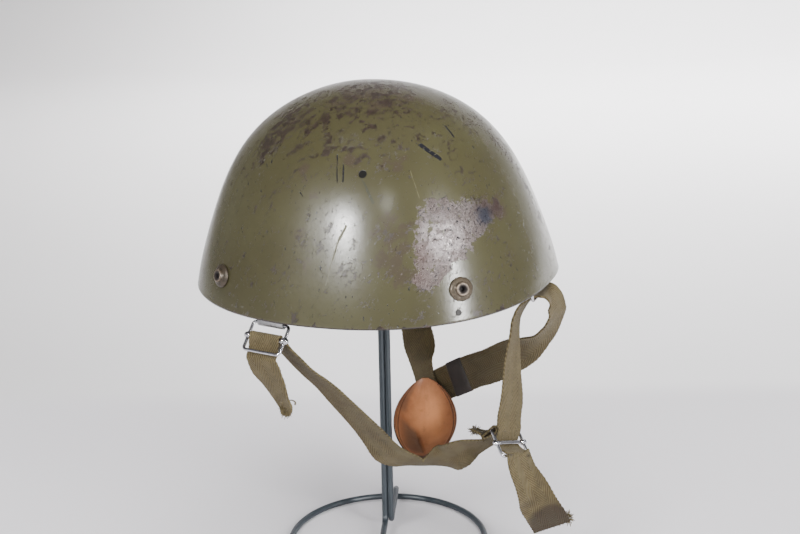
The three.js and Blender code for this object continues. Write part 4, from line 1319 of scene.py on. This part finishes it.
def make_pad():
    """The disc under the crown, its top following the shell's inside."""
    def circle(share, height):
        centre = np.array([*POST, height])
        return ring(centre, X_WAY * PAD_RADIUS * share, Y_WAY * PAD_RADIUS * share, 48)

    sections = []
    for share in np.linspace(0.02, 1, 8):
        section = circle(share, RIM_HEIGHT)
        x, y = section[:, 0], section[:, 1]
        fall = (x / (SHELL_WIDTH / 2)) ** 2 + (y / (SHELL_LENGTH / 2)) ** 2
        section[:, 2] += (SHELL_HEIGHT - SHELL_WALL - GAP) * np.sqrt(np.maximum(0, 1 - PAD_CURVE * fall))
        section[:, 2] += y * math.sin(HELMET_TURN.x) - x * math.sin(HELMET_TURN.y) - 0.2
        sections.append(section)
    base = RIM_HEIGHT + SHELL_HEIGHT - SHELL_WALL - PAD_HEIGHT
    sections += [circle(share, base) for share in (1, 0.02)]
    mesh = sweep([sections[0].mean(0), sections[-1].mean(0)], sections)
    return mesh_piece("stand_pad", mesh, matrix=stand_matrix)


# Materials
class Nodes:
    """Short calls for building a node material."""

    def __init__(self, name):
        self.material = bpy.data.materials.new(name)
        self.material.use_nodes = True
        self.tree = self.material.node_tree
        self.shader = self.tree.nodes["Principled BSDF"]

    def node(self, kind, **settings):
        made = self.tree.nodes.new(kind)
        for key, value in settings.items():
            setattr(made, key, value)
        return made

    def put(self, socket, value):
        if isinstance(value, bpy.types.NodeSocket):
            self.tree.links.new(value, socket)
        else:
            socket.default_value = value

    def coordinates(self, kind="Object"):
        return self.node("ShaderNodeTexCoord").outputs[kind]

    def attribute(self, name):
        return self.node("ShaderNodeAttribute", attribute_name=name).outputs["Fac"]

    def math(self, operation, a, b=0.0, clamp=False):
        made = self.node("ShaderNodeMath", operation=operation, use_clamp=clamp)
        self.put(made.inputs[0], a)
        self.put(made.inputs[1], b)
        return made.outputs[0]

    def add(self, a, b):
        return self.math("ADD", a, b)

    def sub(self, a, b):
        return self.math("SUBTRACT", a, b)

    def mul(self, a, b):
        return self.math("MULTIPLY", a, b)

    def max(self, a, b):
        return self.math("MAXIMUM", a, b)

    def sway(self, value, gain):
        """A noise about zero."""
        return self.mul(self.sub(value, 0.5), gain)

    def vector(self, operation, a, b=(0, 0, 0), scale=1.0):
        made = self.node("ShaderNodeVectorMath", operation=operation)
        self.put(made.inputs[0], a)
        if operation == "SCALE":
            self.put(made.inputs["Scale"], scale)
        else:
            self.put(made.inputs[1], b)
        return made.outputs["Value" if operation in ("DOT_PRODUCT", "DISTANCE") else "Vector"]

    def noise(self, vector, scale, detail=4.0, roughness=0.55, distortion=0.0):
        made = self.node("ShaderNodeTexNoise")
        self.put(made.inputs["Vector"], vector)
        made.inputs["Scale"].default_value = scale
        made.inputs["Detail"].default_value = detail
        made.inputs["Roughness"].default_value = roughness
        made.inputs["Distortion"].default_value = distortion
        return made.outputs["Fac"]

    def wander(self, vector, scale, reach):
        """The vector moved by a slow noise."""
        made = self.node("ShaderNodeTexNoise")
        self.put(made.inputs["Vector"], vector)
        made.inputs["Scale"].default_value = scale
        offset = self.vector("SUBTRACT", made.outputs["Color"], (0.5, 0.5, 0.5))
        return self.vector("ADD", vector, self.vector("SCALE", offset, scale=reach))

    def step(self, value, low, high):
        made = self.node("ShaderNodeMapRange", interpolation_type="SMOOTHSTEP")
        self.put(made.inputs["Value"], value)
        self.put(made.inputs["From Min"], low)
        self.put(made.inputs["From Max"], high)
        return made.outputs["Result"]

    def fade(self, value, low, high):
        return self.sub(1.0, self.step(value, low, high))

    def mix(self, fac, a, b):
        made = self.node("ShaderNodeMix", data_type="RGBA")
        self.put(made.inputs["Factor"], fac)
        colours = [s for s in made.inputs if s.type == "RGBA"]
        for socket, value in zip(colours, (a, b)):
            self.put(socket, value if isinstance(value, bpy.types.NodeSocket) else (*value, 1))
        return [s for s in made.outputs if s.type == "RGBA"][0]

    def bump(self, height, strength, distance):
        made = self.node("ShaderNodeBump")
        made.inputs["Strength"].default_value = strength
        made.inputs["Distance"].default_value = distance
        self.put(made.inputs["Height"], height)
        return made.outputs["Normal"]

    def parts(self, vector):
        made = self.node("ShaderNodeSeparateXYZ")
        self.put(made.inputs[0], vector)
        return made.outputs

    def segment(self, position, start, end, half_width, soft):
        """1 near the line from start to end, in metres, falling to 0 past half_width."""
        way = Vector(end) - Vector(start)
        offset = self.vector("SUBTRACT", position, start)
        ahead = self.vector("DOT_PRODUCT", offset, tuple(way))
        share = self.math("DIVIDE", ahead, way.length_squared, clamp=True)
        distance = self.vector("DISTANCE", offset, self.vector("SCALE", tuple(way), scale=share))
        return self.fade(distance, half_width - soft, half_width + soft)

    def surface(self, **values):
        for key, value in values.items():
            self.put(self.shader.inputs[key.replace("_", " ")], value)


def shell_spot(x, y, z):
    """A place in the helmet's own frame, in millimetres, as metres in the row frame."""
    return tuple((helmet_matrix @ Vector((x, y, z))) * MM)


def rubbed_tone(n, p, brown, rough_noise, speck, pit):
    """Colour of the rubbed patch, pitted, with a painted highlight at its middle."""
    tone = n.mix(speck, RUBBED_DEEP, RUBBED_PALE)
    tone = n.mix(n.mul(n.step(rough_noise, 0.46, 0.56), 0.6), tone, RUBBED_MAUVE)
    # Painted highlight at the patch's middle, broken up by noise
    centre = n.fade(n.vector("DISTANCE", p, shell_spot(80, 84, 55)), 0.003, 0.023)
    centre = n.mul(centre, n.step(n.noise(p, 180, 5, 0.7), 0.38, 0.55))
    tone = n.mix(n.mul(centre, 0.75), tone, RUBBED_HIGHLIGHT)
    tone = n.mix(pit, tone, NICK_DARK)
    return n.mix(n.mul(brown, 0.75), tone, BROWN_RED)


def scratch_masks(n, p):
    """Where each kind of single scratch is, with small dark nicks here and there."""
    masks = {"dark": 0.0, "pale": 0.0, "matt": 0.0, "dull": 0.0}
    bent = n.wander(p, 130, 0.0011)
    for start, end, half, kind in SCRATCHES:
        mark = n.segment(bent, shell_spot(*start), shell_spot(*end), half * MM, 0.0002)
        masks[kind] = n.max(masks[kind], mark)
    nick_noise = n.noise(n.vector("MULTIPLY", p, (1.0, 1.0, 0.45)), 560, 3, 0.5)
    nick = n.mul(n.step(nick_noise, 0.68, 0.695), n.step(n.noise(p, 40, 2), 0.42, 0.55))
    masks["dark"] = n.max(masks["dark"], nick)
    return masks


def paint_material():
    n = Nodes("worn_olive_paint")
    p = n.coordinates()
    names = "rim_height", "wear", "patch", "brown", "inside"
    height, wear, patch, brown, inside = (n.attribute(name) for name in names)
    broad, fine = n.noise(p, 12, 3), n.noise(p, 240, 6, 0.65)
    olive = n.mix(n.step(broad, 0.35, 0.7), OLIVE_DEEP, OLIVE_PALE)
    along = n.mul(n.vector("DOT_PRODUCT", p, STREAK_WAY), 1 - STREAK_SQUEEZE)
    drawn = n.vector("SUBTRACT", p, n.vector("SCALE", STREAK_WAY, scale=along))
    mottle = n.sway(n.noise(drawn, 120, 8, 0.75), 5.0)
    haze = n.step(n.add(mottle, brown), 0.32, 0.75)
    haze = n.mul(n.mul(haze, n.step(brown, 0.02, 0.2)), 0.65)
    olive = n.mix(haze, olive, HAZE_BROWN)
    olive = n.mix(n.mul(n.step(fine, 0.5, 0.8), 0.2), olive, HAZE_BROWN)

    # Chips through to the primer, more and larger where the paint is worn
    rough_noise = n.noise(p, 110, 8, 0.7, 0.3)
    cluster = n.mul(n.noise(drawn, 300, 8, 0.75, 0.5), 0.75)
    cluster = n.add(cluster, n.mul(n.noise(drawn, 110, 4, 0.6), 0.25))
    worn = n.add(n.sway(cluster, 12.0), n.mul(n.math("MINIMUM", wear, 0.27), 4.6))
    chip = n.step(worn, 0.96, 1.04)
    small = n.step(n.add(n.noise(drawn, 420, 4, 0.6, 0.8), n.mul(wear, 0.5)), 0.68, 0.695)
    primer = n.mix(n.step(n.noise(p, 320, 5, 0.65), 0.38, 0.66), PRIMER_DEEP, PRIMER_PALE)
    colour = n.mix(n.mul(chip, 0.92), olive, primer)
    colour = n.mix(n.mul(small, 0.8), colour, PRIMER_DEEP)

    # The large rubbed patch, with a painted highlight at its middle and a blue-grey spot at its right end
    ragged = n.add(patch, n.sway(rough_noise, 3.5))
    ragged = n.add(ragged, n.sway(fine, 2.8))
    dots = n.mul(n.step(n.noise(p, 520, 4, 0.6), 0.6, 0.66), n.step(brown, 0.3, 0.6))
    rubbed = n.mul(n.step(ragged, 0.4, 0.54), n.step(patch, 0.06, 0.2))
    rubbed = n.max(rubbed, n.mul(dots, 0.4))
    speck = n.step(n.noise(p, 480, 6, 0.75), 0.36, 0.64)
    pit = n.step(n.noise(p, 430, 4, 0.6, 0.5), 0.6, 0.64)
    colour = n.mix(rubbed, colour, rubbed_tone(n, p, brown, rough_noise, speck, pit))
    blue_distance = n.vector("DISTANCE", p, shell_spot(51, 104.5, 66))
    blue_distance = n.add(blue_distance, n.sway(fine, 0.016))
    blue = n.fade(blue_distance, 0.003, 0.009)
    colour = n.mix(n.mul(blue, 0.85), colour, BLUE_GREY)

    masks = scratch_masks(n, p)
    colour = n.mix(n.mul(masks["matt"], 0.5), colour, SCRATCH_GREEN)
    colour = n.mix(n.mul(masks["dull"], 0.5), colour, SCRATCH_DULL)
    colour = n.mix(masks["dark"], colour, NICK_DARK)
    colour = n.mix(n.mul(masks["pale"], 0.35), colour, SCRATCH_PALE)

    # The bare rim edge, painted dark partly as painted shade under the rim, and the inside
    edge_noise = n.noise(p, 95, 5, 0.6)
    edge_line = n.add(0.0011, n.mul(n.step(edge_noise, 0.56, 0.72), 0.0035))
    edge = n.fade(n.sub(height, edge_line), -0.0002, 0.0002)
    # Rim edge painted dark, partly as painted shade under the rim, with reddish chips
    colour = n.mix(edge, colour, n.mix(n.step(fine, 0.55, 0.7), RIM_EDGE_AND_SHADE, RIM_RED))
    # The inside is painted near black as painted shade
    colour = n.mix(n.mul(inside, 0.92), colour, INSIDE_PAINTED_SHADE)

    bare = n.mul(rubbed, 0.5)
    rough = n.add(0.2, n.mul(fine, 0.1))
    rough = n.add(rough, n.mul(chip, 0.15))
    rough = n.add(rough, n.mul(rubbed, n.mul(speck, 0.16)))
    rough = n.add(rough, n.mul(n.max(masks["matt"], inside), 0.35))
    relief = n.sub(n.mul(fine, 0.22), n.mul(chip, 0.6))
    crust = n.sub(n.mul(speck, 0.7), n.mul(pit, 1.2))
    relief = n.add(relief, n.mul(rubbed, crust))
    relief = n.sub(relief, masks["dark"])
    n.surface(Base_Color=colour, Roughness=rough, Metallic=bare, Specular_IOR_Level=0.5,
              Normal=n.bump(relief, 0.4, 0.0005))
    return n.material


def webbing_material():
    n = Nodes("webbing")
    u, v, _ = n.parts(n.coordinates("UV"))
    across = n.mul(u, 100)
    along = n.mul(v, 100)
    zigzag = n.math("PINGPONG", n.add(across, 14.0), 7.0)
    slope = n.add(zigzag, n.mul(along, 0.5))
    twill = n.math("SINE", n.mul(slope, 2 * math.pi / 1.68))
    thread = n.math("SINE", n.mul(along, 2 * math.pi / 0.8))
    weave = n.add(n.mul(twill, 0.75), n.mul(thread, 0.25))
    p = n.coordinates()
    mottled = n.noise(p, 120, 6, 0.65)
    dirt = n.noise(p, 26, 5, 0.65)
    fuzz = n.noise(p, 1500, 3, 0.6)
    base = n.mix(n.step(mottled, 0.3, 0.7), WEB_DEEP, WEB_MID)
    base = n.mix(n.mul(n.step(weave, -0.2, 0.9), 0.5), base, WEB_PALE)
    base = n.mix(n.mul(n.step(n.mul(weave, -1.0), 0.2, 0.9), 0.42), base, WEB_DIRT_AND_SHADE)
    base = n.mix(n.mul(n.step(dirt, 0.5, 0.72), 0.4), base, WEB_DIRT_AND_SHADE)
    # Soil at the strap ends, and painted shade along the far nape strap and the right strap
    soil_and_shade = n.attribute("soil_and_shade")
    soil_and_shade = n.step(n.add(soil_and_shade, n.sway(mottled, 0.7)), 0.15, 0.75)
    base = n.mix(n.mul(soil_and_shade, 0.8), base, WEB_DIRT_AND_SHADE)
    relief = n.add(weave, n.mul(fuzz, 0.6))
    n.surface(Base_Color=base, Roughness=0.88, Sheen_Weight=0.08, Sheen_Roughness=0.4,
              Specular_IOR_Level=0.25, Normal=n.bump(relief, 0.6, 0.0005))
    return n.material


def leather_material():
    n = Nodes("cup_leather")
    p = n.coordinates()
    dark, painted_light, tip, seam = (n.attribute(name) for name in ("dark", "painted_light", "tip", "seam"))
    tone = n.noise(p, 55, 5, 0.6)
    blotch = n.noise(p, 150, 5, 0.6)
    colour = n.mix(n.step(tone, 0.3, 0.7), LEATHER_DEEP, LEATHER_PALE)
    # Painted light over the lining's bulge
    colour = n.mix(n.mul(painted_light, 0.85), colour, LEATHER_PAINTED_LIGHT)
    # Painted shade in the hollow below the crease and along the left edge
    shade = n.mul(dark, n.step(n.add(blotch, n.mul(dark, 0.5)), 0.3, 0.8))
    colour = n.mix(shade, colour, LEATHER_PAINTED_SHADE)
    colour = n.mix(n.mul(n.step(blotch, 0.56, 0.75), 0.25), colour, LEATHER_BLOTCH)
    colour = n.mix(n.mul(seam, 0.7), colour, LEATHER_SEAM)
    colour = n.mix(tip, colour, LEATHER_TIP)
    grain = n.noise(p, 1400, 4, 0.6)
    crease = n.noise(n.vector("MULTIPLY", p, (1.0, 0.5, 1.0)), 240, 5, 0.6)
    relief = n.add(n.mul(grain, 0.5), crease)
    relief = n.sub(relief, n.mul(seam, 1.5))
    n.surface(Base_Color=colour, Roughness=n.add(0.42, n.mul(blotch, 0.2)),
              Normal=n.bump(relief, 0.3, 0.0005))
    return n.material


def mottled_material(name, tones, patches, grain, relief, **values):
    """Two tones in soft patches over a fine grain."""
    n = Nodes(name)
    p = n.coordinates()
    colour = n.mix(n.noise(p, *patches), *tones)
    n.surface(Base_Color=colour, Normal=n.bump(n.noise(p, *grain), *relief), **values)
    return n.material


def band_material():
    n = Nodes("dark_band")
    p = n.coordinates()
    weave = n.math("SINE", n.mul(n.parts(p)[2], 2 * math.pi / 0.0011))
    # Near-black weave as painted shade on the sewn overlap
    colour = n.mix(n.noise(p, 160, 5, 0.6), BAND_SHADE_DEEP, BAND_SHADE_PALE)
    n.surface(Base_Color=colour, Roughness=0.9, Normal=n.bump(weave, 0.25, 0.0003))
    return n.material


def metal_material(name, tones, rough, grain=400, metallic=1.0):
    n = Nodes(name)
    p = n.coordinates()
    tarnish = n.step(n.noise(p, grain, 5, 0.65), 0.5, 0.66)
    colour = n.mix(tarnish, *tones)
    roughness = n.add(rough, n.mul(tarnish, 0.14))
    n.surface(Base_Color=colour, Metallic=metallic, Roughness=roughness,
              Normal=n.bump(n.noise(p, grain * 2, 3), 0.08, 0.0001))
    return n.material


def rivet_material(name, tones):
    n = Nodes(name)
    p = n.coordinates()
    worn, hole = n.attribute("worn"), n.attribute("hole")
    tarnish = n.step(n.noise(p, 380, 5, 0.65), 0.4, 0.66)
    colour = n.mix(tarnish, *tones)
    worn = n.mul(worn, n.step(n.noise(p, 500, 4, 0.6), 0.3, 0.5))
    colour = n.mix(worn, colour, RIVET_WORN)
    # Painted shade inside the collar
    colour = n.mix(hole, colour, RIVET_HOLE_SHADE)
    metallic = n.add(0.45, n.mul(worn, 0.3))
    metallic = n.mul(metallic, n.sub(1.0, hole))
    roughness = n.add(0.34, n.mul(tarnish, 0.15))
    roughness = n.add(roughness, n.mul(hole, 0.45))
    n.surface(Base_Color=colour, Metallic=metallic, Roughness=roughness,
              Normal=n.bump(n.noise(p, 700, 4), 0.2, 0.0003))
    return n.material


def dress(pieces, material):
    for piece in pieces:
        piece.data.materials.clear()
        piece.data.materials.append(material)


# Floor, backdrop and light
def make_stage():
    route = [(FLOOR_FRONT, 0), (-FLOOR_BACK, 0)]
    for k in range(1, 25):
        a = math.pi / 2 * k / 24
        route.append((-FLOOR_BACK - BACKDROP_RADIUS * math.sin(a), BACKDROP_RADIUS * (1 - math.cos(a))))
    route.append((-FLOOR_BACK - BACKDROP_RADIUS, BACKDROP_HEIGHT))
    points = [(TOWARD * distance + LEVEL * side + Vector((0, 0, height))) * MM
              for distance, height in route for side in (-FLOOR_HALF, FLOOR_HALF)]
    faces = [(k, k + 1, k + 3, k + 2) for k in range(0, len(points) - 2, 2)]
    data = bpy.data.meshes.new("floor")
    data.from_pydata(points, [], faces)
    smooth(data)
    n = Nodes("pale_floor")
    p = n.coordinates()
    behind = n.mul(n.vector("DOT_PRODUCT", p, tuple(TOWARD)), -1.0)
    further = n.step(behind, TABLE_EDGE - 0.03, TABLE_EDGE + 0.03)
    cloud = n.noise(p, 3, 3, 0.5)
    # The far floor and backdrop are painted darker on the left as painted shade, where the light is weaker
    aside = n.step(n.vector("DOT_PRODUCT", p, tuple(LEVEL)), -0.9, 0.1)
    far = n.mix(aside, FAR_PAINTED_SHADE, n.mix(cloud, FAR_DEEP, FAR_PALE))
    n.surface(Base_Color=n.mix(further, n.mix(cloud, NEAR_DEEP, NEAR_PALE), far), Roughness=0.8)
    data.materials.append(n.material)
    floor = add_object("floor", data)


def area_light(name, place, turn, width, depth, power):
    data = bpy.data.lights.new(name, "AREA")
    data.shape = "RECTANGLE"
    data.size, data.size_y, data.energy = width * MM, depth * MM, power
    light = add_object(name, data)
    light.location, light.rotation_euler = place * MM, turn
    return light


def softbox(name, azimuth, elevation, distance, width, height, power):
    """A soft light seen from the helmet at an angle to the right of the camera."""
    way = Vector(direction(CAMERA_AZIMUTH - 90 + azimuth, elevation))
    place = Vector((0, 0, LIGHT_TARGET)) + way * distance
    return area_light(name, place, way.to_track_quat("Z", "Y").to_euler(), width, height, power)


def backdrop_light(behind, aside, height, width, depth, power):
    """A wide soft light over the floor far behind the helmet, which it doesn't reach."""
    place = LEVEL * aside - TOWARD * behind + Vector((0, 0, height))
    light = area_light("backdrop_light", place, (0, 0, AZIMUTH), width, depth, power)
    light.data.spread = BACKDROP_SPREAD
    light.visible_glossy = False


def make_lights():
    """Windows that make the highlights, fills that light without them, and the room."""
    softbox("left_window", -37, 21.5, 1600, 100, 110, 26).visible_diffuse = False
    softbox("left_fill", -45, 22, 1900, 700, 1100, 28).visible_glossy = False
    softbox("right_window", 36, 13, 1600, 100, 900, 46).visible_diffuse = False
    softbox("right_fill", 44, 18, 1900, 700, 1100, 46).visible_glossy = False
    softbox("small_lamp", -11, 34, 1800, 60, 90, 2)
    softbox("top_light", 15, 78, 1700, 1800, 1800, 40).visible_glossy = False
    backdrop_light(1900, 900, 1700, 3000, 1000, 96)
    world = bpy.data.worlds.new("room")
    world.use_nodes = True
    tree = world.node_tree
    background = tree.nodes["Background"]
    background.inputs["Strength"].default_value = 0.45
    place = tree.nodes.new("ShaderNodeTexCoord")
    split = tree.nodes.new("ShaderNodeSeparateXYZ")
    shade = tree.nodes.new("ShaderNodeValToRGB")
    tree.links.new(place.outputs["Generated"], split.inputs[0])
    tree.links.new(split.outputs["Z"], shade.inputs["Fac"])
    tree.links.new(shade.outputs["Color"], background.inputs["Color"])
    low, high = shade.color_ramp.elements
    low.position, low.color = 0.25, (*ROOM_LOW, 1)
    high.position, high.color = 0.85, (*ROOM_HIGH, 1)
    bpy.context.scene.world = world


# Assembly
dress([make_shell()], paint_material())
for rivet in RIVETS:
    metal = rivet_material(f"worn_{rivet['name']}_rivet", RIVET_COLOURS[rivet["name"]])
    for side_name, plan in (("left", rivet["plan"]), ("right", 180 - rivet["plan"])):
        node = f"{rivet['name']}_{side_name}_rivet"
        dress([make_rivet(f"{node}_head", {**rivet, "plan": plan}, node)], metal)
dress([make_plug()], metal_material("plug_grey", PLUG_COLOURS, 0.6, 300, 0.0))
buckles = make_buckle("left", left_buckle) + make_buckle("nape", nape_buckle)
dress([*buckles, make_link()], metal_material("nickel_wire", NICKEL_COLOURS, 0.12))
*straps, band = make_straps()
dress(straps, webbing_material())
dress([band], band_material())
link_top = LINK_CENTRE + Z_WAY * LINK_HEIGHT / 2
hangers = [
    make_hanger("left_sheet_tab", LEFT_HANGER_PLAN, left_buckle["at"](0, TOP_BAR, 0), left_buckle["bar"],
                BUCKLE_WIRE, "left_hanger"),
    make_hanger("nape_sheet_tab", NAPE_HANGER_PLAN, link_top, -X_WAY, LINK_WIRE, "nape_hanger"),
]
dress(hangers, metal_material("sheet_metal", SHEET_COLOURS, 0.34))
lining_piece, *cup_trim = make_cup()
dress([lining_piece], leather_material())
dress(cup_trim, mottled_material("cup_backing", (BACKING_DEEP, BACKING_PALE), (120, 5, 0.6), (900, 4),
                                 (0.35, 0.0005), Roughness=0.6))
dress(make_stand(), mottled_material("stand_paint", (STAND_DEEP, STAND_PALE), (60, 4), (700, 3),
                                     (0.2, 0.0002), Roughness=0.42, Metallic=0.2))
make_stage()
make_lights()
